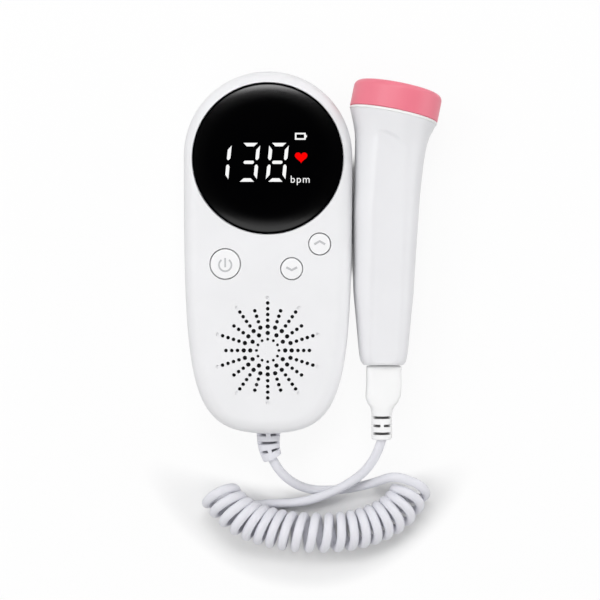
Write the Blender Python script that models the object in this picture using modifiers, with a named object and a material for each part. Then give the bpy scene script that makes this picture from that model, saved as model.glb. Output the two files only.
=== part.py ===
"""Fetal doppler monitor: hand-held display unit, curly cord and ultrasound probe.

Everything lies on a table. The display unit lies on its back with its display
up (+Z) and its cord end towards -Y. The probe lies along its right side, its
pink head towards +Y, and the curly cord lies on the table below both.
The origin is on the flat back of the display unit, in the middle of its length.
Sizes are in metres.
"""

import math

import bmesh
import bpy
import numpy as np
from mathutils import Matrix, Vector
from mathutils.geometry import interpolate_bezier

# Clearances
FIT_GAP = 0.0003
OVERRUN = 0.0010
ROOT = 0.0004
MERGE_GAP = 0.000001

# Display unit, outside
HOUSING_LENGTH = 0.1461
HOUSING_WIDTH = 0.0680
HOUSING_WALL = 0.0022
SIDE_REACH_SHARE = 0.8475
FOOT_REACH_SHARE = 0.9412
PARTING_HEIGHT = 0.0140
FRONT_EDGE_RADIUS = 0.0060
BACK_EDGE_RADIUS = 0.0065

# Display lens: its borders on the front, and its seat
LENS_BORDER = 0.0038
LENS_TOP_BORDER = 0.00535
LENS_SEAT_WIDTH = 0.0052
LENS_THICKNESS = 0.0014
LENS_RIM_HEIGHT = 0.0004
LENS_CROWN = 0.0005
LENS_POCKET_DEPTH = 0.0014

# Buttons: hole diameter, distance from their side of the housing, and how far
# down they stand between the lens and the speaker
POWER_DIAMETER = 0.0126
POWER_SIDE_DISTANCE = 0.0170
POWER_DROP_SHARE = 0.460
VOLUME_DIAMETER = 0.0092
VOLUME_UP_SIDE_DISTANCE = 0.0132
VOLUME_UP_DROP_SHARE = 0.156
VOLUME_DOWN_SIDE_DISTANCE = 0.0244
VOLUME_DOWN_DROP_SHARE = 0.532
BUTTON_GAP = 0.00035
BUTTON_CROWN = 0.00015
BUTTON_FLANGE_PLAY = 0.0005
BUTTON_FLANGE_LIP = 0.0008
BUTTON_FLANGE_THICKNESS = 0.0010
BUTTON_STEM_RADIUS = 0.0016
BUTTON_TRAVEL = 0.0006

# Speaker grille: rings of holes inside the outermost one
GRILLE_RADIUS = 0.0190
GRILLE_FOOT_DISTANCE = 0.03365
GRILLE_HOLE_SIDES = 6
SMALL_HOLE = 0.0012
MIDDLE_HOLE = 0.0015
LARGE_HOLE = 0.0018
RING_RADIUS_SHARES = (0.237, 0.368, 0.505, 0.637, 0.758, 0.879, 1.000)
RING_HOLES = (12, 12, 20, 20, 20, 20, 10)
RING_HOLE_DIAMETERS = (SMALL_HOLE, LARGE_HOLE, LARGE_HOLE) + (MIDDLE_HOLE,) * 4

# Speaker
SPEAKER_GRILLE_MARGIN = 0.00065
SPEAKER_WELL_GAP = 0.0005
SPEAKER_RIM_WIDTH = 0.0032
SPEAKER_RIM_THICKNESS = 0.0011
SPEAKER_NECK_RADIUS = 0.0114
SPEAKER_BASKET_DEPTH = 0.0052
SPEAKER_BASKET_WALL = 0.0009
SPEAKER_HUB_WIDTH = 0.0024
SPEAKER_HUB_THICKNESS = 0.0008
MAGNET_RADIUS = 0.0095
MAGNET_THICKNESS = 0.0023
CLOTH_THICKNESS = 0.0004
CONE_THICKNESS = 0.0005
CONE_DEPTH = 0.0034
CONE_THROAT_RADIUS = 0.0076
COIL_RADIUS = 0.0062
DUST_CAP_HEIGHT = 0.0009
DUST_CAP_RADIUS = 0.0056
SPEAKER_RIB_WALL = 0.0013
SPEAKER_RIB_DEPTH = 0.0055

# Battery door and compartment
DOOR_SKIRT_HEIGHT = 0.0015
DOOR_WALL = 0.0018
DOOR_RECESS = 0.0001
DECK_THICKNESS = 0.0012
GRIP_EDGE_DISTANCE = 0.0070
GRIP_WIDTH = 0.0200
GRIP_PITCH = 0.0018
GRIP_GROOVE = 0.0008
GRIP_DEPTH = 0.0005
GRIP_COUNT = 5
CELL_DIAMETER = 0.0145
CELL_LENGTH = 0.0492
CELL_BUTTON_DIAMETER = 0.0055
CELL_BUTTON_LENGTH = 0.0013
CELL_SIDE_GAP = 0.0007
CELL_DOOR_GAP = 0.0004
CELL_EDGE_RADIUS = 0.0006
CONTACT_WIDTH = 0.0090
CONTACT_THICKNESS = 0.0004
CONTACT_SPRING_LENGTH = 0.0022
CONTACT_SPRING_RADIUS = 0.0030
CONTACT_SPRING_TIP_RADIUS = 0.0014
CONTACT_WIRE_DIAMETER = 0.0005
CONTACT_SPRING_TURNS = 2.5
WELL_WALL = 0.0014
WELL_FOOT_DISTANCE = 0.00905

# Screws, bosses and posts
SCREW_DIAMETER = 0.0024
SCREW_HEAD_DIAMETER = 0.0050
SCREW_HEAD_HEIGHT = 0.0016
SCREW_TIP_ROOM = 0.0058
SCREW_BORE_GAP = 0.0003
UPPER_SCREW_EDGE = 0.0061
UPPER_SCREW_ANGLE = math.radians(44.2)
LOWER_SCREW_EDGE = 0.0095
LOWER_SCREW_RIB_DISTANCE = 0.00104
UPPER_SCREW_SEAT = 0.0070
BOSS_DIAMETER = 0.0064
REAR_BOSS_DIAMETER = 0.0086
POST_DIAMETER = 0.0050
HIGH_POST_EDGE = 0.00876
HIGH_POST_ANGLE = math.radians(65.4)
LOW_POST_EDGE = 0.0130
LOW_POST_DOOR_DISTANCE = 0.0100

# Main circuit board and what stands on it
BOARD_THICKNESS = 0.0016
BOARD_INSET = 0.0040
BOARD_BUTTON_MARGIN = 0.0048
BOARD_BOSS_GAP = 0.0005
MODULE_HEIGHT_SHARE = 0.62
MODULE_TOP_GAP = 0.0011
MODULE_EDGE_RADIUS = 0.0010
SWITCH_SIZE = 0.0060
SWITCH_HEIGHT = 0.0024
SWITCH_BORE_DIAMETER = 0.0040
SWITCH_BORE_DEPTH = 0.0016
PLUNGER_DIAMETER = 0.0032
PLUNGER_LENGTH = 0.0016
PLUNGER_TOP_GAP = 0.0003

# Cord and its strain relief on the display unit
CORD_DIAMETER = 0.0038
FLOOR_GAP = 0.0001
RELIEF_DECK_GAP = 0.0004
RELIEF_FLANGE_RADIUS = 0.0054
RELIEF_FLANGE_LENGTH = 0.0012
RELIEF_NECK_RADIUS = 0.0041
RELIEF_ROOT_RADIUS = 0.0049
RELIEF_TIP_RADIUS = 0.0040
RELIEF_GROOVE_DEPTH = 0.0010
RELIEF_GROOVE_WIDTH = 0.0009
RELIEF_RIB_LENGTH = 0.0023
RELIEF_STEP = 0.0002
RELIEF_RIBS = 4
RELIEF_BEND = math.radians(26.0)
RELIEF_DROP = math.radians(7.0)

# Probe
PROBE_SIDE_GAP = 0.0002
HEAD_RISE = 0.01775
HANDLE_LENGTH = 0.1023
HEAD_DIAMETER = 0.0363
HEAD_OFFSET = 0.0037
HEAD_TILT = math.radians(11.4)
PROBE_WALL = 0.0018
PROBE_SPLIT_GAP = 0.0005
SOCKET_HOLE_WIDTH = 0.0112
SOCKET_HOLE_HEIGHT = 0.0068
SOCKET_HOLE_SQUARENESS = 8.0
TAIL_SIDE_RIM = 0.0020
TAIL_TOP_RIM = 0.0039
THUMB_FLAT_WIDTH = 0.0128
THUMB_FLAT_HEAD_DISTANCE = 0.0103
THUMB_FLAT_TAIL_DISTANCE = 0.0055
THUMB_FLAT_SKEW = 0.0022
THUMB_FLAT_HIGH_CUT = 0.00141
THUMB_FLAT_LOW_CUT = 0.00087
THUMB_ARCH_STEPS = 8
RING_SEGMENTS = 14

# Stations of the handle: place along it, sideways offset, width and depth between
# the tail's (0) and the head's (1), tilt share, and squareness of the section.
# The waist is what lies beside the display unit.
HANDLE_WAIST_SHARE = 0.540
HANDLE_STATION_SHARES = (
    (0.000, 0.00, 0.000, 0.000, 0.00, 2.6),
    (0.012, 0.00, 0.080, 0.090, 0.00, 2.6),
    (0.036, 0.01, 0.138, 0.149, 0.00, 2.6),
    (0.080, 0.01, 0.187, 0.177, 0.00, 2.6),
    (0.190, -0.02, 0.294, 0.249, 0.00, 2.6),
    (0.300, -0.09, 0.418, 0.319, 0.00, 2.6),
    (0.416, -0.06, 0.476, 0.389, 0.00, 2.6),
    (0.604, 0.13, HANDLE_WAIST_SHARE, 0.494, 0.10, 2.6),
    (0.703, 0.30, 0.562, 0.547, 0.26, 2.5),
    (0.800, 0.50, 0.607, 0.606, 0.46, 2.4),
    (0.883, 0.72, 0.669, 0.673, 0.68, 2.2),
    (0.924, 0.82, 0.752, 0.770, 0.80, 2.1),
    (0.957, 0.90, 0.862, 0.880, 0.90, 2.0),
    (1.000, 1.00, 1.000, 1.000, 1.00, 2.0),
)

# Probe head
GASKET_THICKNESS = 0.0008
GASKET_INSET = 0.0002
CAP_LENGTH = 0.0115
CAP_EDGE_RADIUS = 0.0026
CAP_SPIGOT_GAP = 0.0005
CAP_SPIGOT_LENGTH = 0.0025
CAP_SPIGOT_WALL = 0.0016
FACE_LEDGE = 0.0008
FACE_SEAT_DEPTH = 0.0024
FACE_CROWN = 0.0010
CRYSTAL_MARGIN = 0.0014
CRYSTAL_THICKNESS = 0.0010
CRYSTAL_SPLIT = 0.0008
BACKING_THICKNESS = 0.0048

# Probe board, socket and plug
PROBE_BOARD_GAP = 0.0004
PROBE_BOARD_LENGTH = 0.0600
PROBE_BOARD_THICKNESS = 0.0012
SOCKET_LENGTH = 0.0090
SOCKET_EDGE_RADIUS = 0.0010
PLUG_SHELL_WIDTH = 0.0076
PLUG_SHELL_HEIGHT = 0.0028
PLUG_SHELL_LENGTH = 0.0068
PLUG_SHELL_WALL = 0.00035
PLUG_TONGUE_THICKNESS = 0.0008
PLUG_SIDE_GAP = 0.0004
PLUG_TAIL_GAP = 0.0005
PLUG_WIDTH = 0.0143
PLUG_THICKNESS = 0.0092
PLUG_BODY_LENGTH = 0.0120
PLUG_TAPER_LENGTH = 0.0080
PLUG_TAPER_SHARES = ((0.35, 0.28), (0.70, 0.82))
PLUG_EDGE_RADIUS = 0.0022
PLUG_RELIEF_RADIUS = 0.0044
PLUG_RELIEF_LENGTH = 0.0100
PLUG_GROOVE_DEPTH = 0.0009
PLUG_GROOVE_WIDTH = 0.0009
PLUG_GROOVES = 3
PLUG_END_RADIUS = 0.0008

# Probe cradle on the side of the display unit
CRADLE_LOW_Y = 0.0040
CRADLE_LENGTH = 0.0210
CRADLE_WALL = 0.0018
CRADLE_FOOT_TOP_SHARE = 0.50
CRADLE_FOOT_BOTTOM_SHARE = 0.25
CRADLE_SQUARENESS = 2.6
CRADLE_STEPS = 12
CRADLE_START_ANGLE = math.radians(222.0)
CRADLE_FOOT_ANGLE = math.radians(242.0)
CRADLE_LIP_ANGLE = math.radians(320.0)

# Curly cord: hand-chosen axis on the table, and the shape of its turns
COIL_AXIS_ROUTE = (
    (-0.0210, -0.0980), (-0.0142, -0.1058), (-0.0045, -0.1116),
    (0.0080, -0.1148), (0.0220, -0.1156), (0.0360, -0.1142),
    (0.0476, -0.1100), (0.0560, -0.1030), (0.0602, -0.0935),
)
CURL_RADIUS = 0.00645
CURL_GAP = 0.00050
CURL_STRETCH = 0.0012
CURL_STRETCH_CENTRE_SHARE = 0.52
CURL_STRETCH_WIDTH_SHARE = 0.20
CURL_POINTS = 9
CURL_LIFT_END = 0.0300
CURL_LIFT_FADE = 0.0180
CURL_SETTLE_ANGLE = math.radians(110.0)
CURL_TAIL_RADIUS = 0.0046
CURL_TAIL_STEPS = 4
AXIS_SAMPLES = 1200
BEND_WINDOW_SHARE = 0.0375
LEAST_CURL_GAP = 0.0004

# Free leads: hand-chosen routes, from the monitor and from the plug to the coil
MONITOR_LEAD_ROUTE = (
    (0.0072, -0.0925, 0.0110), (0.0113, -0.0957, 0.0073),
    (0.0158, -0.0979, 0.0043), (0.0213, -0.0988, 0.0025), (0.0276, -0.0987, 0.0021),
    (0.0336, -0.0980, 0.0026), (0.0402, -0.0962, 0.0052), (0.0468, -0.0936, 0.0096),
)
PROBE_LEAD_ROUTE = (
    (0.0449, -0.0842, 0.0169), (0.0421, -0.0868, 0.0152), (0.0384, -0.0908, 0.0125),
    (0.0344, -0.0942, 0.0100), (0.0299, -0.0970, 0.0081), (0.0250, -0.0994, 0.0073),
    (0.0196, -0.1016, 0.0062), (0.0129, -0.1035, 0.0039), (0.0062, -0.1041, 0.0022),
    (0.0008, -0.1044, 0.0020), (-0.0040, -0.1046, 0.0020),
)

# Places and sizes that follow from the sizes above
SHOULDER_Y = HOUSING_LENGTH / 2 - HOUSING_WIDTH / 2
FOOT_Y = -HOUSING_LENGTH / 2
LENS_DIAMETER = HOUSING_WIDTH - 2 * LENS_BORDER
LENS_Y = HOUSING_LENGTH / 2 - LENS_TOP_BORDER - LENS_DIAMETER / 2
WINDOW_DIAMETER = LENS_DIAMETER - 2 * LENS_SEAT_WIDTH
SPEAKER_RADIUS = GRILLE_RADIUS + MIDDLE_HOLE / 2 + SPEAKER_GRILLE_MARGIN
GRILLE_Y = FOOT_Y + GRILLE_FOOT_DISTANCE
LENS_LOW_Y = LENS_Y - LENS_DIAMETER / 2
BUTTON_ROOM = LENS_LOW_Y - GRILLE_Y - SPEAKER_RADIUS
POWER_X = POWER_SIDE_DISTANCE - HOUSING_WIDTH / 2
VOLUME_UP_X = HOUSING_WIDTH / 2 - VOLUME_UP_SIDE_DISTANCE
VOLUME_DOWN_X = HOUSING_WIDTH / 2 - VOLUME_DOWN_SIDE_DISTANCE
POWER_Y = LENS_LOW_Y - POWER_DROP_SHARE * BUTTON_ROOM
VOLUME_UP_Y = LENS_LOW_Y - VOLUME_UP_DROP_SHARE * BUTTON_ROOM
VOLUME_DOWN_Y = LENS_LOW_Y - VOLUME_DOWN_DROP_SHARE * BUTTON_ROOM
BOARD_EDGE_Y = VOLUME_DOWN_Y - BOARD_BUTTON_MARGIN
FRONT_BOTTOM = PARTING_HEIGHT + FIT_GAP
DOOR_RIM_HEIGHT = BACK_EDGE_RADIUS + DOOR_SKIRT_HEIGHT
DOOR_INSIDE = DOOR_RECESS + DOOR_WALL
CELL_AXIS_HEIGHT = DOOR_INSIDE + CELL_DOOR_GAP + CELL_DIAMETER / 2
WELL_CEILING = CELL_AXIS_HEIGHT + CELL_DIAMETER / 2 + FIT_GAP
WELL_TOP = WELL_CEILING + WELL_WALL
CELL_SPACING = CELL_DIAMETER + CELL_SIDE_GAP
WELL_HALF_WIDTH = CELL_SPACING / 2 + CELL_DIAMETER / 2 + FIT_GAP
CONTACT_STACK = FIT_GAP + CONTACT_THICKNESS + FIT_GAP
SPRING_STACK = CONTACT_SPRING_LENGTH + FIT_GAP
WELL_LENGTH = CELL_LENGTH + CELL_BUTTON_LENGTH + 2 * CONTACT_STACK + SPRING_STACK
WELL_END_Y = FOOT_Y + WELL_FOOT_DISTANCE
WELL_START_Y = WELL_END_Y + WELL_LENGTH
DOOR_EDGE_Y = WELL_START_Y + OVERRUN
GRIP_Y = DOOR_EDGE_Y - GRIP_EDGE_DISTANCE
BOARD_BOTTOM = WELL_TOP + FIT_GAP
BOARD_TOP = BOARD_BOTTOM + BOARD_THICKNESS
SWITCH_BOTTOM = BOARD_TOP + FIT_GAP
SWITCH_TOP = SWITCH_BOTTOM + SWITCH_HEIGHT
PLUNGER_BOTTOM = SWITCH_TOP - SWITCH_BORE_DEPTH + BUTTON_TRAVEL + FIT_GAP
PLUNGER_TOP = PLUNGER_BOTTOM + PLUNGER_LENGTH
MAGNET_BOTTOM = WELL_TOP + SPEAKER_WELL_GAP
SPEAKER_BOTTOM = MAGNET_BOTTOM + MAGNET_THICKNESS + FIT_GAP
SPEAKER_TOP = SPEAKER_BOTTOM + SPEAKER_BASKET_DEPTH
CLOTH_BOTTOM = SPEAKER_TOP + FIT_GAP
CLOTH_TOP = CLOTH_BOTTOM + CLOTH_THICKNESS
FRONT_UNDERSIDE = CLOTH_TOP + FIT_GAP
HOUSING_DEPTH = FRONT_UNDERSIDE + HOUSING_WALL
FLANGE_TOP = FRONT_UNDERSIDE - BUTTON_FLANGE_PLAY
FLANGE_BOTTOM = FLANGE_TOP - BUTTON_FLANGE_THICKNESS
SCREW_TIP_HEIGHT = FRONT_UNDERSIDE - SCREW_TIP_ROOM
MODULE_BOTTOM = BOARD_TOP + FIT_GAP
MODULE_TOP = FRONT_UNDERSIDE - MODULE_TOP_GAP
DECK_TOP = DOOR_RIM_HEIGHT + DECK_THICKNESS
RELIEF_HEIGHT = DECK_TOP + RELIEF_DECK_GAP + RELIEF_FLANGE_RADIUS
HEAD_RADIUS = HEAD_DIAMETER / 2
TAIL_HALF_WIDTH = SOCKET_HOLE_WIDTH / 2 + TAIL_SIDE_RIM
TAIL_HALF_DEPTH = SOCKET_HOLE_HEIGHT / 2 + TAIL_TOP_RIM
WAIST_HALF_WIDTH = TAIL_HALF_WIDTH + HANDLE_WAIST_SHARE * (HEAD_RADIUS - TAIL_HALF_WIDTH)
PROBE_HEIGHT = HEAD_RADIUS + PROBE_SPLIT_GAP / 2
PROBE_X = HOUSING_WIDTH / 2 + PROBE_SIDE_GAP + WAIST_HALF_WIDTH
HEAD_Y = SHOULDER_Y + HEAD_RISE
TAIL_Y = HEAD_Y - HANDLE_LENGTH
CORD_RADIUS = CORD_DIAMETER / 2
CURL_LIFT = CORD_DIAMETER + CURL_GAP
PLUG_FACE_Y = TAIL_Y - PLUG_TAIL_GAP
HEAD_CENTRE = Vector((PROBE_X + HEAD_OFFSET, HEAD_Y, PROBE_HEIGHT))
HEAD_AXIS = Vector((math.sin(HEAD_TILT), math.cos(HEAD_TILT), 0.0))

# Facets
OUTLINE_ARC_STEPS = 20
OUTLINE_SIDE_STEPS = 14
LENS_STEPS = 48
CAP_STEPS = 32
PLUG_STEPS = 16
ROUND_STEPS = 24
SMALL_ROUND_STEPS = 12
EDGE_STEPS = 3
INNER_EDGE_STEPS = 2
SMOOTH_ANGLE = math.radians(35.0)

SIDES = (("left", -1), ("right", 1))
BUTTONS = (
    ("power", POWER_X, POWER_Y, POWER_DIAMETER),
    ("volume_up", VOLUME_UP_X, VOLUME_UP_Y, VOLUME_DIAMETER),
    ("volume_down", VOLUME_DOWN_X, VOLUME_DOWN_Y, VOLUME_DIAMETER),
)


def on_head_arc(inset, angle):
    """Return a mirrored pair of places inside the round top end of the housing."""
    reach = HOUSING_WIDTH / 2 - inset
    y = SHOULDER_Y + reach * math.sin(angle)
    return tuple((side * reach * math.cos(angle), y) for _, side in SIDES)


def beside_speaker():
    """Return the places of the lower screws, clear of the rib round the speaker."""
    reach = SPEAKER_RADIUS + FIT_GAP + SPEAKER_RIB_WALL + LOWER_SCREW_RIB_DISTANCE
    reach += BOSS_DIAMETER / 2
    x = HOUSING_WIDTH / 2 - LOWER_SCREW_EDGE
    rise = math.sqrt(max(reach ** 2 - x ** 2, 0.0))
    return tuple((side * x, GRILLE_Y + rise) for _, side in SIDES)


UPPER_SCREWS = on_head_arc(UPPER_SCREW_EDGE, UPPER_SCREW_ANGLE)
LOWER_SCREWS = beside_speaker()
POSTS = on_head_arc(HIGH_POST_EDGE, HIGH_POST_ANGLE) + tuple(
    (side * (HOUSING_WIDTH / 2 - LOW_POST_EDGE), DOOR_EDGE_Y + LOW_POST_DOOR_DISTANCE)
    for _, side in SIDES)


# Scene, materials and shared shapes

def clear_scene():
    """Remove every object of the open file."""
    for item in list(bpy.data.objects):
        bpy.data.objects.remove(item)


def new_collection(name):
    """Return a new collection linked to the scene."""
    collection = bpy.data.collections.new(name)
    bpy.context.scene.collection.children.link(collection)
    return collection


clear_scene()
PARTS = new_collection("fetal_doppler_monitor")
CUTTERS = new_collection("cutters")


def make_material(name, colour, roughness, metallic=0.0):
    """Return a Principled material with one colour."""
    material = bpy.data.materials.new(name)
    material.use_nodes = True
    shader = material.node_tree.nodes["Principled BSDF"]
    shader.inputs["Base Color"].default_value = (*colour, 1.0)
    shader.inputs["Roughness"].default_value = roughness
    shader.inputs["Metallic"].default_value = metallic
    return material


SHELL_WHITE = (0.86, 0.86, 0.87)
PROBE_WHITE = (0.80, 0.80, 0.81)
CORD_WHITE = (0.83, 0.83, 0.86)
CAP_PINK = (0.90, 0.22, 0.30)
GLOSS_BLACK = (0.004, 0.004, 0.005)
BOARD_GREEN = (0.02, 0.16, 0.07)
DARK_PLASTIC = (0.03, 0.03, 0.035)
STEEL = (0.62, 0.62, 0.64)
BRASS = (0.70, 0.52, 0.22)


def part(name, mesh, colour, roughness=0.35, metallic=0.0):
    """Link a mesh as a named sub-part with a material of its own."""
    item = bpy.data.objects.new(name, mesh)
    PARTS.objects.link(item)
    mesh.name = name
    mesh.materials.clear()
    mesh.materials.append(make_material(name + "_finish", colour, roughness, metallic))
    smooth(mesh)
    return item


def cutter(name, mesh):
    """Link a mesh as a hidden cutting or joining shape."""
    item = bpy.data.objects.new(name, mesh)
    CUTTERS.objects.link(item)
    mesh.name = name
    item.hide_render = True
    item.display_type = "WIRE"
    return item


def smooth(mesh):
    """Shade a mesh smooth, with its hard edges kept sharp."""
    mesh.shade_smooth()
    mesh.set_sharp_from_angle(angle=SMOOTH_ANGLE)


def boolean(item, other, operation):
    """Add an exact Boolean modifier."""
    modifier = item.modifiers.new(operation.lower() + "_" + other.name, "BOOLEAN")
    modifier.operation = operation
    modifier.object = other
    modifier.solver = "EXACT"


def cut(item, other):
    """Cut one shape out of another."""
    boolean(item, other, "DIFFERENCE")


def join(item, other):
    """Join one shape to another."""
    boolean(item, other, "UNION")


def set_origin(item, point):
    """Move the object's origin to a point without moving its shape."""
    point = Vector(point)
    item.data.transform(Matrix.Translation(-point))
    item.location = point


def evaluated_mesh(item):
    """Return a new mesh of the object as its modifiers leave it."""
    bpy.context.view_layer.update()
    graph = bpy.context.evaluated_depsgraph_get()
    return bpy.data.meshes.new_from_object(item.evaluated_get(graph))


def weld(mesh):
    """Merge the doubled points of a mesh."""
    shape = bmesh.new()
    shape.from_mesh(mesh)
    bmesh.ops.remove_doubles(shape, verts=shape.verts, dist=MERGE_GAP)
    bmesh.ops.recalc_face_normals(shape, faces=shape.faces)
    shape.to_mesh(mesh)
    shape.free()
    return mesh


def plate_mesh(points, bottom, top):
    """Return a flat plate with the given outline, from one height to another."""
    curve = bpy.data.curves.new("outline", "CURVE")
    curve.dimensions = "2D"
    curve.fill_mode = "BOTH"
    curve.extrude = (top - bottom) / 2
    spline = curve.splines.new("POLY")
    spline.points.add(len(points) - 1)
    for target, (x, y) in zip(spline.points, points):
        target.co = (x, y, 0.0, 1.0)
    spline.use_cyclic_u = True
    item = bpy.data.objects.new("outline", curve)
    PARTS.objects.link(item)
    mesh = evaluated_mesh(item)
    bpy.data.objects.remove(item)
    mesh.transform(Matrix.Translation((0.0, 0.0, (top + bottom) / 2)))
    return weld(mesh)


def round_rim(mesh, height, radius, steps=EDGE_STEPS):
    """Round the rim of a plate that lies at one height."""
    shape = bmesh.new()
    shape.from_mesh(mesh)
    rim = [edge for edge in shape.edges
           if all(abs(vert.co.z - height) < MERGE_GAP for vert in edge.verts)
           and edge.is_manifold and edge.calc_face_angle(0.0) > SMOOTH_ANGLE]
    bmesh.ops.bevel(shape, geom=rim, offset=radius, segments=steps, profile=0.5,
                    affect="EDGES", clamp_overlap=False)
    bmesh.ops.remove_doubles(shape, verts=shape.verts, dist=MERGE_GAP)
    shape.to_mesh(mesh)
    shape.free()
    return mesh


def box_mesh(low, high, edge_radius=0.0, steps=2):
    """Return a box between two corners, with rounded edges if asked."""
    low = Vector(low)
    high = Vector(high)
    shape = bmesh.new()
    bmesh.ops.create_cube(shape, size=1.0)
    bmesh.ops.scale(shape, vec=high - low, verts=shape.verts)
    bmesh.ops.translate(shape, vec=(high + low) / 2, verts=shape.verts)
    if edge_radius:
        bmesh.ops.bevel(shape, geom=shape.edges, offset=edge_radius, segments=steps,
                        profile=0.5, affect="EDGES")
    mesh = bpy.data.meshes.new("box")
    shape.to_mesh(mesh)
    shape.free()
    return mesh


def rods_mesh(places, bottom, top, sides):
    """Return upright round rods; each place is (x, y, radius)."""
    shape = bmesh.new()
    for x, y, radius in places:
        centre = Matrix.Translation((x, y, (bottom + top) / 2))
        bmesh.ops.create_cone(shape, cap_ends=True, segments=sides, radius1=radius,
                              radius2=radius, depth=top - bottom, matrix=centre)
    mesh = bpy.data.meshes.new("rods")
    shape.to_mesh(mesh)
    shape.free()
    return mesh


def joined_mesh(meshes):
    """Return one mesh that holds several separate shapes."""
    shape = bmesh.new()
    for mesh in meshes:
        shape.from_mesh(mesh)
    mesh = bpy.data.meshes.new("group")
    shape.to_mesh(mesh)
    shape.free()
    return mesh


def turned_mesh(profile, steps=ROUND_STEPS, closed=False, placing=None):
    """Return a turned shape about Z; the profile runs down its outer side."""
    mesh = bpy.data.meshes.new("profile")
    count = len(profile)
    edges = [(index, index + 1) for index in range(count - 1)]
    if closed:
        edges.append((count - 1, 0))
    mesh.from_pydata([(radius, 0.0, height) for radius, height in profile], edges, [])
    item = bpy.data.objects.new("profile", mesh)
    PARTS.objects.link(item)
    screw = item.modifiers.new("turn", "SCREW")
    screw.axis = "Z"
    screw.angle = math.tau
    screw.steps = steps
    screw.render_steps = steps
    screw.use_merge_vertices = True
    screw.merge_threshold = MERGE_GAP
    turned = evaluated_mesh(item)
    bpy.data.objects.remove(item)
    weld(turned)
    if placing is not None:
        turned.transform(placing)
    return turned


def at(x, y, z=0.0):
    """Return the matrix that moves a shape to a place."""
    return Matrix.Translation((x, y, z))


def arc(centre_r, centre_h, radius, start, end, steps):
    """Return the points of an arc in a turned profile."""
    points = []
    for step in range(steps + 1):
        angle = start + (end - start) * step / steps
        points.append((centre_r + radius * math.cos(angle), centre_h + radius * math.sin(angle)))
    return points


def tube(name, points, radius, colour, resolution=2, radii=None):
    """Make a capped round tube along a list of points."""
    curve = bpy.data.curves.new(name, "CURVE")
    curve.dimensions = "3D"
    curve.bevel_depth = radius
    curve.bevel_resolution = resolution
    curve.use_fill_caps = True
    spline = curve.splines.new("POLY")
    spline.points.add(len(points) - 1)
    for index, (target, point) in enumerate(zip(spline.points, points)):
        target.co = (*point, 1.0)
        if radii is not None:
            target.radius = radii[index] / radius
    item = bpy.data.objects.new(name, curve)
    PARTS.objects.link(item)
    curve.materials.append(make_material(name + "_finish", colour, 0.45))
    return item


def tube_mesh(points, radius, resolution=1, radii=None):
    """Return the welded mesh of a capped round tube."""
    item = tube("tube", points, radius, CORD_WHITE, resolution, radii)
    mesh = evaluated_mesh(item)
    bpy.data.objects.remove(item)
    return weld(mesh)


def smooth_route(points, samples):
    """Return evenly spaced points on a natural cubic spline through a route."""
    route = np.array([tuple(point) for point in points], dtype=float)
    steps = np.linalg.norm(np.diff(route, axis=0), axis=1)
    knots = np.concatenate([[0.0], np.cumsum(steps)])
    last = len(route) - 1
    system = np.eye(last + 1)
    target = np.zeros_like(route)
    for index in range(1, last):
        before = steps[index - 1]
        after = steps[index]
        system[index, index - 1:index + 2] = (before, 2 * (before + after), after)
        slope_after = (route[index + 1] - route[index]) / after
        slope_before = (route[index] - route[index - 1]) / before
        target[index] = 6 * (slope_after - slope_before)
    bend = np.linalg.solve(system, target)
    found = []
    for place in np.linspace(0.0, knots[-1], samples):
        index = min(int(np.searchsorted(knots, place, side="right")) - 1, last - 1)
        step = steps[index]
        near = (knots[index + 1] - place) / step
        far = (place - knots[index]) / step
        curve = ((near ** 3 - near) * bend[index] + (far ** 3 - far) * bend[index + 1])
        found.append(near * route[index] + far * route[index + 1] + curve * step ** 2 / 6)
    return np.array(found)


# Display unit: outline and housings

def housing_outline(inset=0.0):
    """Return the outline seen from the front: a half circle over a long tapering foot."""
    radius = HOUSING_WIDTH / 2
    points = []
    for step in range(OUTLINE_ARC_STEPS):
        angle = math.pi * step / OUTLINE_ARC_STEPS
        points.append(Vector((radius * math.cos(angle), SHOULDER_Y + radius * math.sin(angle))))
    shoulder = Vector((radius, SHOULDER_Y))
    foot = Vector((0.0, FOOT_Y))
    side_reach = Vector((0.0, SIDE_REACH_SHARE * (SHOULDER_Y - FOOT_Y)))
    foot_reach = Vector((FOOT_REACH_SHARE * radius, 0.0))
    side = interpolate_bezier(shoulder, shoulder - side_reach, foot + foot_reach, foot,
                              OUTLINE_SIDE_STEPS + 1)
    points += [Vector((-point.x, point.y)) for point in side]
    points += [Vector((point.x, point.y)) for point in reversed(side[1:-1])]
    return offset_outline(points, inset)


def offset_outline(points, inset):
    """Return a closed outline moved inwards; the points run anticlockwise."""
    moved = []
    for index, point in enumerate(points):
        along = points[(index + 1) % len(points)] - points[index - 1]
        inwards = Vector((-along.y, along.x)).normalized()
        moved.append(point + inwards * inset)
    return moved


def grille_places():
    """Return the place and radius of every speaker hole."""
    places = []
    for share, count, diameter in zip(RING_RADIUS_SHARES, RING_HOLES, RING_HOLE_DIAMETERS):
        radius = GRILLE_RADIUS * share
        for index in range(count):
            angle = math.pi / 2 + math.tau * index / count
            x = radius * math.cos(angle)
            y = GRILLE_Y + radius * math.sin(angle)
            places.append((x, y, diameter / 2))
    return places


def relief_bore(name):
    """Return the cutter for the hole that the strain relief passes through."""
    radius = RELIEF_NECK_RADIUS + FIT_GAP
    length = HOUSING_WALL + RELIEF_FLANGE_LENGTH
    profile = [(0.0, length), (radius, length), (radius, -length), (0.0, -length)]
    turn = Matrix.Rotation(math.pi / 2, 4, "X")
    mesh = turned_mesh(profile, SMALL_ROUND_STEPS, placing=at(0.0, FOOT_Y, RELIEF_HEIGHT) @ turn)
    return cutter(name, mesh)


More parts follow.
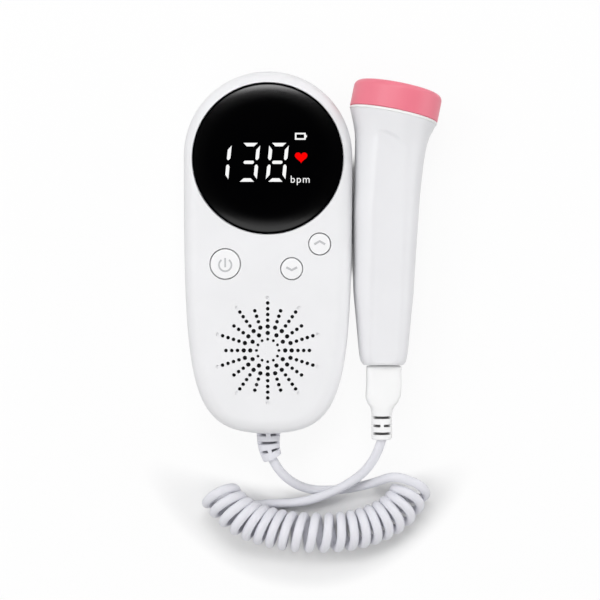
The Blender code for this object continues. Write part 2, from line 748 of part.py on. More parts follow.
def front_housing():
    """Front shell: display pocket, button holes, speaker grille, bosses and speaker rib."""
    mesh = plate_mesh(housing_outline(), FRONT_BOTTOM, HOUSING_DEPTH)
    shell = part("front_housing", round_rim(mesh, HOUSING_DEPTH, FRONT_EDGE_RADIUS), SHELL_WHITE)
    inside = plate_mesh(housing_outline(HOUSING_WALL), FRONT_BOTTOM - OVERRUN, FRONT_UNDERSIDE)
    round_rim(inside, FRONT_UNDERSIDE, FRONT_EDGE_RADIUS - HOUSING_WALL, INNER_EDGE_STEPS)
    cut(shell, cutter("front_inside", inside))

    screw_bosses = [rods_mesh([(x, y, BOSS_DIAMETER / 2) for x, y in UPPER_SCREWS],
                              FRONT_BOTTOM, FRONT_UNDERSIDE + ROOT, SMALL_ROUND_STEPS),
                    rods_mesh([(x, y, BOSS_DIAMETER / 2) for x, y in LOWER_SCREWS],
                              DECK_TOP + FIT_GAP, FRONT_UNDERSIDE + ROOT, SMALL_ROUND_STEPS)]
    rib_inner = SPEAKER_RADIUS + FIT_GAP
    rib_outer = rib_inner + SPEAKER_RIB_WALL
    rib_bottom = FRONT_UNDERSIDE - SPEAKER_RIB_DEPTH
    rib = turned_mesh([(rib_outer, FRONT_UNDERSIDE + ROOT), (rib_outer, rib_bottom),
                       (rib_inner, rib_bottom), (rib_inner, FRONT_UNDERSIDE + ROOT)],
                      closed=True, placing=at(0.0, GRILLE_Y))
    join(shell, cutter("front_bosses", joined_mesh(screw_bosses + [rib])))

    pocket_radius = LENS_DIAMETER / 2 + FIT_GAP
    pocket_floor = HOUSING_DEPTH - LENS_POCKET_DEPTH
    pocket = rods_mesh([(0.0, LENS_Y, pocket_radius)], pocket_floor,
                       HOUSING_DEPTH + OVERRUN, LENS_STEPS)
    holes = rods_mesh([(x, y, size / 2) for _, x, y, size in BUTTONS],
                      FRONT_UNDERSIDE - OVERRUN, HOUSING_DEPTH + OVERRUN, ROUND_STEPS)
    grille = rods_mesh(grille_places(), FRONT_UNDERSIDE - OVERRUN,
                       HOUSING_DEPTH + OVERRUN, GRILLE_HOLE_SIDES)
    cut(shell, cutter("lens_pocket", pocket))
    cut(shell, cutter("button_holes", holes))
    cut(shell, cutter("speaker_grille", grille))

    window = rods_mesh([(0.0, LENS_Y, WINDOW_DIAMETER / 2)], FRONT_UNDERSIDE - OVERRUN,
                       HOUSING_DEPTH + OVERRUN, ROUND_STEPS)
    bore_radius = SCREW_DIAMETER / 2 + SCREW_BORE_GAP
    bores = rods_mesh([(x, y, bore_radius) for x, y in UPPER_SCREWS + LOWER_SCREWS],
                      DECK_TOP, SCREW_TIP_HEIGHT + OVERRUN, SMALL_ROUND_STEPS)
    cut(shell, cutter("front_bores", joined_mesh([window, bores])))
    cut(shell, relief_bore("front_relief_bore"))
    return shell


def rear_housing():
    """Rear shell: flat back, screw bosses, board posts, deck and battery well."""
    mesh = plate_mesh(housing_outline(), 0.0, PARTING_HEIGHT)
    shell = part("rear_housing", round_rim(mesh, 0.0, BACK_EDGE_RADIUS), SHELL_WHITE)
    inside = plate_mesh(housing_outline(HOUSING_WALL), HOUSING_WALL, PARTING_HEIGHT + OVERRUN)
    round_rim(inside, HOUSING_WALL, BACK_EDGE_RADIUS - HOUSING_WALL, INNER_EDGE_STEPS)
    inside = cutter("rear_inside", inside)
    half_width = HOUSING_WIDTH / 2 + OVERRUN
    deck_block = box_mesh((-half_width, FOOT_Y - OVERRUN, -OVERRUN),
                          (half_width, DOOR_EDGE_Y + HOUSING_WALL, DECK_TOP))
    cut(inside, cutter("deck_block", deck_block))
    cut(shell, inside)
    door_room = box_mesh((-half_width, FOOT_Y - OVERRUN, -OVERRUN),
                         (half_width, DOOR_EDGE_Y, DOOR_RIM_HEIGHT))
    cut(shell, cutter("door_room", door_room))

    outer = WELL_HALF_WIDTH + WELL_WALL
    well = box_mesh((-outer, WELL_END_Y - WELL_WALL, DOOR_RIM_HEIGHT),
                    (outer, WELL_START_Y + WELL_WALL, WELL_TOP))
    join(shell, cutter("battery_well", well))
    room = box_mesh((-WELL_HALF_WIDTH, WELL_END_Y, DOOR_RIM_HEIGHT - OVERRUN),
                    (WELL_HALF_WIDTH, WELL_START_Y, WELL_CEILING))
    cut(shell, cutter("battery_room", room))

    posts = rods_mesh([(x, y, POST_DIAMETER / 2) for x, y in POSTS],
                      HOUSING_WALL - ROOT, BOARD_BOTTOM - FIT_GAP, SMALL_ROUND_STEPS)
    bosses = rods_mesh([(x, y, REAR_BOSS_DIAMETER / 2) for x, y in UPPER_SCREWS],
                       HOUSING_WALL - ROOT, PARTING_HEIGHT, SMALL_ROUND_STEPS)
    join(shell, cutter("rear_bosses", joined_mesh([posts, bosses])))
    head_radius = SCREW_HEAD_DIAMETER / 2 + FIT_GAP
    counterbores = rods_mesh([(x, y, head_radius) for x, y in UPPER_SCREWS],
                             -OVERRUN, UPPER_SCREW_SEAT, SMALL_ROUND_STEPS)
    cut(shell, cutter("screw_counterbores", counterbores))
    bore_radius = SCREW_DIAMETER / 2 + SCREW_BORE_GAP
    bores = rods_mesh([(x, y, bore_radius) for x, y in UPPER_SCREWS + LOWER_SCREWS],
                      UPPER_SCREW_SEAT - OVERRUN, PARTING_HEIGHT + OVERRUN, SMALL_ROUND_STEPS)
    cut(shell, cutter("rear_bores", bores))
    cut(shell, relief_bore("rear_relief_bore"))
    return shell


def battery_door():
    """Door that closes the lower back and slides off towards the cord end."""
    top = DOOR_RIM_HEIGHT - FIT_GAP
    mesh = round_rim(plate_mesh(housing_outline(), DOOR_RECESS, top), DOOR_RECESS, BACK_EDGE_RADIUS)
    door = part("battery_door", mesh, SHELL_WHITE)
    inside = plate_mesh(housing_outline(DOOR_WALL), DOOR_INSIDE, top + OVERRUN)
    round_rim(inside, DOOR_INSIDE, BACK_EDGE_RADIUS - DOOR_WALL, INNER_EDGE_STEPS)
    cut(door, cutter("door_inside", inside))
    half_width = HOUSING_WIDTH / 2 + OVERRUN
    above = box_mesh((-half_width, DOOR_EDGE_Y - FIT_GAP, -OVERRUN),
                     (half_width, HOUSING_LENGTH, top + OVERRUN))
    cut(door, cutter("above_door", above))
    grooves = []
    for index in range(GRIP_COUNT):
        low_y = GRIP_Y - index * GRIP_PITCH
        grooves.append(box_mesh((-GRIP_WIDTH / 2, low_y, DOOR_RECESS - OVERRUN),
                                (GRIP_WIDTH / 2, low_y + GRIP_GROOVE, DOOR_RECESS + GRIP_DEPTH)))
    cut(door, cutter("grip_grooves", joined_mesh(grooves)))
    return door


def display_lens():
    """Round, slightly crowned cover lens with a chamfered rim."""
    radius = LENS_DIAMETER / 2
    bottom = HOUSING_DEPTH - LENS_POCKET_DEPTH + FIT_GAP
    rim = bottom + LENS_THICKNESS
    shoulder = rim + LENS_RIM_HEIGHT
    crown_radius = radius - LENS_THICKNESS
    profile = []
    for step in range(EDGE_STEPS):
        share = step / EDGE_STEPS
        height = shoulder + LENS_CROWN * (1 - share ** 2)
        profile.append((crown_radius * share, height))
    profile += [(crown_radius, shoulder), (radius, rim), (radius, bottom), (0.0, bottom)]
    mesh = turned_mesh(profile, LENS_STEPS, placing=at(0.0, LENS_Y))
    return part("display_lens", mesh, GLOSS_BLACK, 0.08)


def button(name, x, y, size):
    """One push button: crowned cap, retaining flange and stem."""
    cap = size / 2 - BUTTON_GAP
    flange = size / 2 + BUTTON_FLANGE_LIP
    profile = [(0.0, HOUSING_DEPTH + BUTTON_CROWN), (cap - BUTTON_CROWN, HOUSING_DEPTH),
               (cap, HOUSING_DEPTH - BUTTON_CROWN), (cap, FLANGE_TOP), (flange, FLANGE_TOP),
               (flange, FLANGE_BOTTOM), (BUTTON_STEM_RADIUS, FLANGE_BOTTOM),
               (BUTTON_STEM_RADIUS, PLUNGER_TOP + PLUNGER_TOP_GAP),
               (0.0, PLUNGER_TOP + PLUNGER_TOP_GAP)]
    item = part(name + "_button", turned_mesh(profile, placing=at(x, y)), SHELL_WHITE)
    set_origin(item, (x, y, HOUSING_DEPTH))
    plunger = turned_mesh([(0.0, PLUNGER_TOP), (PLUNGER_DIAMETER / 2, PLUNGER_TOP),
                           (PLUNGER_DIAMETER / 2, PLUNGER_BOTTOM), (0.0, PLUNGER_BOTTOM)],
                          SMALL_ROUND_STEPS, placing=at(x, y))
    plunger = part(name + "_switch_plunger", plunger, DARK_PLASTIC)
    set_origin(plunger, (x, y, PLUNGER_TOP))


def main_board():
    """Circuit board that follows the housing, with notches for the screw bosses."""
    mesh = plate_mesh(housing_outline(BOARD_INSET), BOARD_BOTTOM, BOARD_TOP)
    board = part("main_board", mesh, BOARD_GREEN, 0.4)
    half_width = HOUSING_WIDTH / 2
    below = box_mesh((-half_width, FOOT_Y, BOARD_BOTTOM - OVERRUN),
                     (half_width, BOARD_EDGE_Y, BOARD_TOP + OVERRUN))
    notch = BOSS_DIAMETER / 2 + BOARD_BOSS_GAP
    notches = rods_mesh([(x, y, notch) for x, y in UPPER_SCREWS], BOARD_BOTTOM - OVERRUN,
                        BOARD_TOP + OVERRUN, SMALL_ROUND_STEPS)
    cut(board, cutter("board_cuts", joined_mesh([below, notches])))
    return board


def display_module():
    """Number display block behind the lens."""
    half_width = WINDOW_DIAMETER / 2
    half_height = half_width * MODULE_HEIGHT_SHARE
    mesh = box_mesh((-half_width, LENS_Y - half_height, MODULE_BOTTOM),
                    (half_width, LENS_Y + half_height, MODULE_TOP),
                    MODULE_EDGE_RADIUS)
    return part("display_module", mesh, DARK_PLASTIC)


def tact_switch(name, x, y):
    """One switch body on the board, bored for its plunger."""
    half = SWITCH_SIZE / 2
    body = box_mesh((x - half, y - half, SWITCH_BOTTOM), (x + half, y + half, SWITCH_TOP))
    switch = part(name + "_switch", body, DARK_PLASTIC)
    bore = rods_mesh([(x, y, SWITCH_BORE_DIAMETER / 2)], SWITCH_TOP - SWITCH_BORE_DEPTH,
                     SWITCH_TOP + OVERRUN, SMALL_ROUND_STEPS)
    cut(switch, cutter(name + "_switch_bore", bore))


def speaker():
    """Loudspeaker behind the grille: dust cloth, cone, basket and magnet."""
    place = at(0.0, GRILLE_Y)
    cloth = turned_mesh([(0.0, CLOTH_TOP), (SPEAKER_RADIUS, CLOTH_TOP),
                         (SPEAKER_RADIUS, CLOTH_BOTTOM), (0.0, CLOTH_BOTTOM)], placing=place)
    part("speaker_dust_cloth", cloth, DARK_PLASTIC, 0.9)

    rim_inner = SPEAKER_RADIUS - SPEAKER_RIM_WIDTH
    rim_bottom = SPEAKER_TOP - SPEAKER_RIM_THICKNESS
    hub_inner = SPEAKER_NECK_RADIUS - SPEAKER_HUB_WIDTH
    hub_top = SPEAKER_BOTTOM + SPEAKER_HUB_THICKNESS
    basket = [(SPEAKER_RADIUS, SPEAKER_TOP), (SPEAKER_RADIUS, rim_bottom),
              (rim_inner + SPEAKER_BASKET_WALL, rim_bottom), (SPEAKER_NECK_RADIUS, hub_top),
              (SPEAKER_NECK_RADIUS, SPEAKER_BOTTOM), (hub_inner, SPEAKER_BOTTOM),
              (hub_inner, hub_top),
              (rim_inner, SPEAKER_TOP - SPEAKER_BASKET_WALL), (rim_inner, SPEAKER_TOP)]
    part("speaker_basket", turned_mesh(basket, closed=True, placing=place), STEEL, 0.4, 1.0)

    magnet_top = SPEAKER_BOTTOM - FIT_GAP
    magnet = turned_mesh([(0.0, magnet_top), (MAGNET_RADIUS, magnet_top),
                          (MAGNET_RADIUS, MAGNET_BOTTOM), (0.0, MAGNET_BOTTOM)], placing=place)
    part("speaker_magnet", magnet, STEEL, 0.5, 1.0)

    edge = rim_inner - FIT_GAP
    lip_top = SPEAKER_TOP
    lip_bottom = lip_top - CONE_THICKNESS
    throat = lip_bottom - CONE_DEPTH
    coil_bottom = SPEAKER_BOTTOM + FIT_GAP
    cap_rim = throat + CONE_THICKNESS
    cone = [(0.0, cap_rim + DUST_CAP_HEIGHT), (DUST_CAP_RADIUS, cap_rim), (edge, lip_top),
            (edge, lip_bottom), (CONE_THROAT_RADIUS, throat), (COIL_RADIUS, throat),
            (COIL_RADIUS, coil_bottom), (0.0, coil_bottom)]
    part("speaker_cone", turned_mesh(cone, placing=place), DARK_PLASTIC, 0.7)


# Batteries and contacts

def along_y(x, y, z, towards):
    """Return the matrix that lays a shape turned about Z along +Y or -Y."""
    return at(x, y, z) @ Matrix.Rotation(-towards * math.pi / 2, 4, "X")


def battery_cells():
    """Two round cells, side by side and head to tail."""
    radius = CELL_DIAMETER / 2
    button_radius = CELL_BUTTON_DIAMETER / 2
    half = CELL_LENGTH / 2
    profile = [(0.0, half + CELL_BUTTON_LENGTH), (button_radius, half + CELL_BUTTON_LENGTH),
               (button_radius, half), (radius - CELL_EDGE_RADIUS, half),
               (radius, half - CELL_EDGE_RADIUS), (radius, CELL_EDGE_RADIUS - half),
               (radius - CELL_EDGE_RADIUS, -half), (0.0, -half)]
    for name, side in SIDES:
        head_room = CONTACT_STACK + CELL_BUTTON_LENGTH + half
        y = WELL_START_Y - head_room if side > 0 else WELL_END_Y + head_room
        placing = along_y(side * CELL_SPACING / 2, y, CELL_AXIS_HEIGHT, side)
        part("battery_cell_" + name, turned_mesh(profile, placing=placing), STEEL, 0.35, 0.6)


def contact_plate(low_x, high_x, end, inwards):
    """Return a contact plate against one end of the well."""
    near = end + inwards * FIT_GAP
    far = near + inwards * CONTACT_THICKNESS
    half = CONTACT_WIDTH / 2
    return box_mesh((low_x - half, min(near, far), CELL_AXIS_HEIGHT - half),
                    (high_x + half, max(near, far), CELL_AXIS_HEIGHT + half))


def contact_spring(name, x, end, inwards):
    """Return the conical spring that stands on a contact plate."""
    wire = CONTACT_WIRE_DIAMETER / 2
    start = end + inwards * (FIT_GAP + CONTACT_THICKNESS)
    length = CONTACT_SPRING_LENGTH + FIT_GAP - wire
    count = int(CONTACT_SPRING_TURNS * CURL_POINTS)
    points = []
    for index in range(count + 1):
        share = index / count
        angle = math.tau * CONTACT_SPRING_TURNS * share
        narrowing = CONTACT_SPRING_RADIUS - CONTACT_SPRING_TIP_RADIUS
        radius = CONTACT_SPRING_RADIUS - narrowing * share
        points.append((x + radius * math.cos(angle), start + inwards * length * share,
                       CELL_AXIS_HEIGHT + radius * math.sin(angle)))
    return cutter(name, tube_mesh(points, wire))


def battery_contacts():
    """Two single contacts at the board end of the well and a bridge at its other end."""
    x = CELL_SPACING / 2
    positive = contact_plate(x, x, WELL_START_Y, -1)
    part("battery_contact_positive", positive, STEEL, 0.3, 1.0)
    negative = contact_plate(-x, -x, WELL_START_Y, -1)
    negative = part("battery_contact_negative", negative, STEEL, 0.3, 1.0)
    join(negative, contact_spring("negative_spring", -x, WELL_START_Y, -1))
    bridge = part("battery_bridge", contact_plate(-x, x, WELL_END_Y, 1), STEEL, 0.3, 1.0)
    join(bridge, contact_spring("bridge_spring", x, WELL_END_Y, 1))


def housing_screws():
    """Four pan-head screws from the back into the front bosses."""
    head = SCREW_HEAD_DIAMETER / 2
    shank = SCREW_DIAMETER / 2
    for row, places, seat in (("upper", UPPER_SCREWS, UPPER_SCREW_SEAT),
                              ("lower", LOWER_SCREWS, DOOR_RIM_HEIGHT)):
        head_top = seat - FIT_GAP
        head_bottom = head_top - SCREW_HEAD_HEIGHT
        profile = [(0.0, SCREW_TIP_HEIGHT), (shank, SCREW_TIP_HEIGHT - shank), (shank, head_top),
                   (head, head_top), (head, head_bottom + ROOT), (head - ROOT, head_bottom),
                   (0.0, head_bottom)]
        for (side, _), (x, y) in zip(SIDES, places):
            screw = turned_mesh(profile, SMALL_ROUND_STEPS, placing=at(x, y))
            part(f"housing_screw_{row}_{side}", screw, STEEL, 0.3, 1.0)


# Strain relief, leads and curly cord

def relief_path():
    """Return the points and radii of the ribbed strain relief, from inside outwards."""
    inner_wall = FOOT_Y + HOUSING_WALL
    flange_start = inner_wall + FIT_GAP + RELIEF_FLANGE_LENGTH
    neck_end = FOOT_Y - FIT_GAP
    straight = [(flange_start, RELIEF_FLANGE_RADIUS),
                (inner_wall + FIT_GAP + RELIEF_STEP, RELIEF_FLANGE_RADIUS),
                (inner_wall + FIT_GAP, RELIEF_NECK_RADIUS),
                (neck_end, RELIEF_NECK_RADIUS),
                (neck_end - RELIEF_STEP, RELIEF_ROOT_RADIUS)]
    points = [Vector((0.0, y, RELIEF_HEIGHT)) for y, _ in straight]
    radii = [radius for _, radius in straight]
    place = points[-1].copy()
    pitch = RELIEF_RIB_LENGTH + RELIEF_GROOVE_WIDTH
    bend_start = pitch
    total = RELIEF_RIBS * RELIEF_RIB_LENGTH + (RELIEF_RIBS - 1) * RELIEF_GROOVE_WIDTH
    travelled = 0.0
    for rib in range(RELIEF_RIBS):
        share = rib / (RELIEF_RIBS - 1)
        ridge = RELIEF_ROOT_RADIUS + share * (RELIEF_TIP_RADIUS - RELIEF_ROOT_RADIUS)
        lengths = [(RELIEF_RIB_LENGTH - RELIEF_STEP, ridge)]
        if rib < RELIEF_RIBS - 1:
            floor = ridge - RELIEF_GROOVE_DEPTH
            lengths += [(RELIEF_STEP, floor), (RELIEF_GROOVE_WIDTH - RELIEF_STEP, floor),
                        (RELIEF_STEP, ridge)]
        for length, radius in lengths:
            turned = max(0.0, travelled + length / 2 - bend_start) / (total - bend_start)
            side = RELIEF_BEND * min(1.0, turned)
            drop = RELIEF_DROP * min(1.0, turned)
            place = place + length * Vector((math.sin(side), -math.cos(side), -math.sin(drop)))
            travelled += length
            points.append(place.copy())
            radii.append(radius)
    return points, radii


def monitor_strain_relief():
    """Ribbed, bending strain relief held in the housing's end wall."""
    points, radii = relief_path()
    mesh = tube_mesh(points, RELIEF_ROOT_RADIUS, 3, radii)
    return part("monitor_strain_relief", mesh, CORD_WHITE, 0.5)


def curl_axis():
    """Return places, directions and left-hand sides along the axis of the curly cord."""
    route = smooth_route(COIL_AXIS_ROUTE, AXIS_SAMPLES)
    steps = np.linalg.norm(np.diff(route, axis=0), axis=1)
    along = np.concatenate([[0.0], np.cumsum(steps)])
    direction = np.gradient(route, along, axis=0)
    direction /= np.linalg.norm(direction, axis=1)[:, None]
    heading = np.unwrap(np.arctan2(direction[:, 1], direction[:, 0]))
    bend = np.clip(np.gradient(heading, along), 0.0, None)
    window = int(AXIS_SAMPLES * BEND_WINDOW_SHARE)
    padded = np.pad(bend, window, mode="edge")
    bend = np.convolve(padded, np.ones(2 * window + 1) / (2 * window + 1), mode="valid")
    return route, along, direction, bend


def eased(share):
    """Return a share from 0 to 1 that starts and ends gently."""
    share = max(0.0, min(1.0, share))
    return share * share * (3 - 2 * share)


def curl_points():
    """Return the points of the curly cord and its number of turns.

    It is a helix whose pitch leaves a gap in the bends. Its first turns ride on
    the end of the cord, which comes out underneath them.
    """
    route, along, direction, bend = curl_axis()
    middle = CURL_STRETCH_CENTRE_SHARE * along[-1]
    width = CURL_STRETCH_WIDTH_SHARE * along[-1]
    stretch = CURL_STRETCH * np.exp(-((along - middle) / width) ** 2)
    pitch = (CORD_DIAMETER + CURL_GAP) / (1 - CURL_RADIUS * bend) + stretch
    rate = math.tau / pitch
    turn = np.concatenate([[0.0], np.cumsum((rate[1:] + rate[:-1]) / 2 * np.diff(along))])
    turns = math.floor(turn[-1] / math.tau - 0.5) + 0.5
    turn *= turns * math.tau / turn[-1]

    def beside_axis(place, sideways, height):
        """Return the point beside the axis at a place along it."""
        x, y = (np.interp(place, along, route[:, column]) for column in (0, 1))
        tx, ty = (np.interp(place, along, direction[:, column]) for column in (0, 1))
        return Vector((x - ty * sideways, y + tx * sideways, height))

    floor = FLOOR_GAP + CORD_RADIUS
    tail = []
    for step in range(CURL_TAIL_STEPS, 0, -1):
        angle = math.pi / 2 * step / CURL_TAIL_STEPS
        tail.append(beside_axis(CURL_TAIL_RADIUS * (1 - math.cos(angle)),
                                CURL_TAIL_RADIUS * math.sin(angle), floor))
    outwards = (tail[0] - tail[1]).normalized()
    points = [tail[0] + outwards * CORD_DIAMETER] + tail
    for angle in np.linspace(0.0, turn[-1], int(turns * CURL_POINTS) + 1):
        place = np.interp(angle, turn, along)
        lift = CURL_LIFT * eased((CURL_LIFT_END - place) / CURL_LIFT_FADE)
        lift *= eased(angle / CURL_SETTLE_ANGLE)
        sideways = -CURL_RADIUS * math.sin(angle)
        height = floor + lift + CURL_RADIUS * (1 - math.cos(angle))
        points.append(beside_axis(place, sideways, height))
    last = Vector((-direction[-1, 1], direction[-1, 0], 0.0)).normalized()
    points.append(points[-1] + last * CORD_DIAMETER)
    return points, turns


def least_gap(points):
    """Return the least clear distance between turns of a wound tube."""
    least = math.inf
    ends = len(points) - 1
    for index, point in enumerate(points):
        for other in range(index + CURL_POINTS // 2, min(index + 2 * CURL_POINTS, ends)):
            start = points[other]
            edge = points[other + 1] - start
            share = max(0.0, min(1.0, (point - start).dot(edge) / edge.length_squared))
            least = min(least, (start + edge * share - point).length)
    return least - CORD_DIAMETER


def lead_points(start, towards, route, end, arriving):
    """Return the points of a free lead between two straight ends."""
    start = Vector(start)
    end = Vector(end)
    nodes = [start, start + Vector(towards).normalized() * CORD_DIAMETER]
    nodes += [Vector(point) for point in route]
    nodes += [end - Vector(arriving).normalized() * CORD_DIAMETER, end]
    length = sum((b - a).length for a, b in zip(nodes, nodes[1:]))
    points = smooth_route(nodes, int(length / CORD_DIAMETER) + 1)
    lowest = FLOOR_GAP + CORD_RADIUS
    return [Vector((x, y, max(z, lowest))) for x, y, z in points]


def cord():
    """Both free leads and the curly cord between them."""
    curls, turns = curl_points()
    gap = least_gap(curls)
    print(f"curly cord: {turns} turns, least gap {gap * 1000:.2f} mm")
    if gap < LEAST_CURL_GAP:
        print("curly cord: its turns lie too close")
    tube("curly_cord", curls, CORD_RADIUS, CORD_WHITE, 1)

    relief, _ = relief_path()
    out = (relief[-1] - relief[-2]).normalized()
    top_end = (curls[-2] - curls[-1]).normalized()
    points = lead_points(relief[-1] + out * FIT_GAP, out, MONITOR_LEAD_ROUTE,
                         curls[-1] - top_end * FIT_GAP, top_end)
    tube("cord_lead_monitor", points, CORD_RADIUS, CORD_WHITE, 2)

    low_end = (curls[1] - curls[0]).normalized()
    plug_end = Vector((PROBE_X, PLUG_FACE_Y - plug_length() - FIT_GAP, PROBE_HEIGHT))
    points = lead_points(plug_end, (0.0, -1.0, 0.0), PROBE_LEAD_ROUTE,
                         curls[0] - low_end * FIT_GAP, low_end)
    tube("cord_lead_probe", points, CORD_RADIUS, CORD_WHITE, 2)


# Probe

def section_point(half_width, half_depth, squareness, angle):
    """Return a point of a rounded-square section as sideways and height."""
    cosine = math.cos(angle)
    sine = math.sin(angle)
    power = 2 / squareness
    sideways = math.copysign(abs(cosine) ** power, cosine) * half_width
    height = math.copysign(abs(sine) ** power, sine) * half_depth
    return sideways, height


def handle_stations():
    """Return each station's place, centre, half width, half depth, tilt and squareness."""
    stations = []
    for along, across, width, depth, tilt, squareness in HANDLE_STATION_SHARES:
        half_width = TAIL_HALF_WIDTH + width * (HEAD_RADIUS - TAIL_HALF_WIDTH)
        half_depth = TAIL_HALF_DEPTH + depth * (HEAD_RADIUS - TAIL_HALF_DEPTH)
        stations.append((TAIL_Y + HANDLE_LENGTH * along, PROBE_X + HEAD_OFFSET * across,
                         half_width, half_depth, HEAD_TILT * tilt, squareness))
    return stations


def handle_section(y):
    """Return the handle's centre, half width and half depth at a place along it."""
    place, centre_x, half_width, half_depth, _, _ = np.array(handle_stations()).T
    return (np.interp(y, place, centre_x), np.interp(y, place, half_width),
            np.interp(y, place, half_depth) + PROBE_SPLIT_GAP / 2)


def handle_half(side):
    """Return the open outer skin of one half of the handle; side is 1 for the front."""
    stations = [(TAIL_Y, PROBE_X, SOCKET_HOLE_WIDTH / 2, SOCKET_HOLE_HEIGHT / 2, 0.0,
                 SOCKET_HOLE_SQUARENESS)] + handle_stations()
    shape = bmesh.new()
    rings = []
    for centre_y, centre_x, half_width, half_depth, lean, squareness in stations:
        ring = []
        for step in range(RING_SEGMENTS + 1):
            angle = math.pi * step / RING_SEGMENTS
            across_ring, up = section_point(half_width, half_depth, squareness, angle)
            ring.append(shape.verts.new((
                centre_x + across_ring * math.cos(lean),
                centre_y - across_ring * math.sin(lean),
                PROBE_HEIGHT + side * (PROBE_SPLIT_GAP / 2 + up))))
        rings.append(ring)
    for low, high in zip(rings, rings[1:]):
        for index in range(RING_SEGMENTS):
            corners = [low[index], low[index + 1], high[index + 1], high[index]]
            shape.faces.new(corners if side < 0 else corners[::-1])
    shape.normal_update()
    mesh = bpy.data.meshes.new("handle_half")
    shape.to_mesh(mesh)
    shape.free()
    return mesh


def probe_shell(name, side):
    """One moulded half of the probe body."""
    shell = part(name, handle_half(side), PROBE_WHITE)
    wall = shell.modifiers.new("wall", "SOLIDIFY")
    wall.thickness = PROBE_WALL
    wall.offset = -1.0
    wall.use_even_offset = True
    wall.use_rim = True
    return shell


def head_plane_cutter():
    """Return the block that trims the handle flat where the head sits on it."""
    mesh = box_mesh((-HEAD_DIAMETER, -HEAD_DIAMETER, 0.0),
                    (HEAD_DIAMETER, HEAD_DIAMETER, HEAD_DIAMETER))
    mesh.transform(head_placing())
    return cutter("head_plane", mesh)


def thumb_flat_cutter():
    """Return the arch-topped block that planes the thumb flat on the front of the handle."""
    low_y = TAIL_Y + THUMB_FLAT_TAIL_DISTANCE
    high_y = HEAD_Y - THUMB_FLAT_HEAD_DISTANCE
    length = high_y - low_y
    half = THUMB_FLAT_WIDTH / 2
    outline = [(-half, -OVERRUN), (half, -OVERRUN)]
    for step in range(THUMB_ARCH_STEPS + 1):
        angle = math.pi * step / THUMB_ARCH_STEPS
        outline.append((half * math.cos(angle), length - half + half * math.sin(angle)))
    low_depth = handle_section(low_y)[2] - THUMB_FLAT_LOW_CUT
    high_depth = handle_section(high_y)[2] - THUMB_FLAT_HIGH_CUT
    slope = math.atan2(high_depth - low_depth, length)
    lean = math.atan2(THUMB_FLAT_SKEW, length)
    mesh = plate_mesh([Vector(point) for point in outline], 0.0, HEAD_RADIUS)
    placing = at(PROBE_X, low_y, PROBE_HEIGHT + low_depth)
    mesh.transform(placing @ Matrix.Rotation(-lean, 4, "Z") @ Matrix.Rotation(slope, 4, "X"))
    return cutter("thumb_flat", mesh)


def head_placing():
    """Return the matrix that lays a shape turned about Z on the axis of the head."""
    turn = Vector((0.0, 0.0, 1.0)).rotation_difference(HEAD_AXIS).to_matrix().to_4x4()
    return Matrix.Translation(HEAD_CENTRE) @ turn


def probe_head():
    """Pink cap with its gasket, acoustic face, crystals and backing."""
    placing = head_placing()
    spigot_radius = handle_section(HEAD_Y - CAP_SPIGOT_LENGTH)[1] - PROBE_WALL - CAP_SPIGOT_GAP
    bore_radius = spigot_radius - CAP_SPIGOT_WALL
    face_radius = bore_radius + FACE_LEDGE
    crystal_radius = bore_radius - CRYSTAL_MARGIN
    gasket_low = FIT_GAP
    gasket_high = gasket_low + GASKET_THICKNESS
    gasket_inner = spigot_radius + FIT_GAP
    gasket_outer = HEAD_RADIUS - GASKET_INSET
    gasket = turned_mesh([(gasket_outer, gasket_high), (gasket_outer, gasket_low),
                          (gasket_inner, gasket_low), (gasket_inner, gasket_high)],
                         closed=True, placing=placing)
    gasket = part("head_gasket", gasket, SHELL_WHITE, 0.5)

    cap_low = gasket_high + FIT_GAP
    face_seat = CAP_LENGTH - FACE_SEAT_DEPTH
    opening = face_radius + FIT_GAP
    corner_r = HEAD_RADIUS - CAP_EDGE_RADIUS
    corner_h = CAP_LENGTH - CAP_EDGE_RADIUS
    profile = [(opening, CAP_LENGTH)]
    profile += arc(corner_r, corner_h, CAP_EDGE_RADIUS, math.pi / 2, 0.0, EDGE_STEPS)
    profile += [(HEAD_RADIUS, cap_low), (spigot_radius, cap_low),
                (spigot_radius, -CAP_SPIGOT_LENGTH), (bore_radius, -CAP_SPIGOT_LENGTH),
                (bore_radius, face_seat), (opening, face_seat)]
    cap = turned_mesh(profile, CAP_STEPS, closed=True, placing=placing)
    cap = part("probe_cap", cap, CAP_PINK, 0.3)

    face_low = face_seat + FIT_GAP
    profile = []
    for step in range(EDGE_STEPS):
        share = step / EDGE_STEPS
        profile.append((face_radius * share, CAP_LENGTH + FACE_CROWN * (1 - share ** 2)))
    profile += [(face_radius, CAP_LENGTH), (face_radius, face_low), (0.0, face_low)]
    face = part("probe_face", turned_mesh(profile, placing=placing), PROBE_WHITE, 0.4)

    crystal_high = face_low - FIT_GAP
    crystal_low = crystal_high - CRYSTAL_THICKNESS
    crystals = []
    for name, side in SIDES:
        outline = []
        for step in range(SMALL_ROUND_STEPS + 1):
            angle = -math.pi / 2 + math.pi * step / SMALL_ROUND_STEPS
            outline.append(Vector((side * (CRYSTAL_SPLIT / 2 + crystal_radius * math.cos(angle)),
                                   side * crystal_radius * math.sin(angle))))
        half_disc = plate_mesh(outline, crystal_low, crystal_high)
        half_disc.transform(placing)
        crystals.append(part("piezo_crystal_" + name, half_disc, BRASS, 0.4))

    backing_high = crystal_low - FIT_GAP
    backing_low = backing_high - BACKING_THICKNESS
    radius = bore_radius - FIT_GAP
    backing = turned_mesh([(0.0, backing_high), (radius, backing_high), (radius, backing_low),
                           (0.0, backing_low)], placing=placing)
    backing = part("transducer_backing", backing, DARK_PLASTIC, 0.8)
    return [gasket, cap, face, backing] + crystals


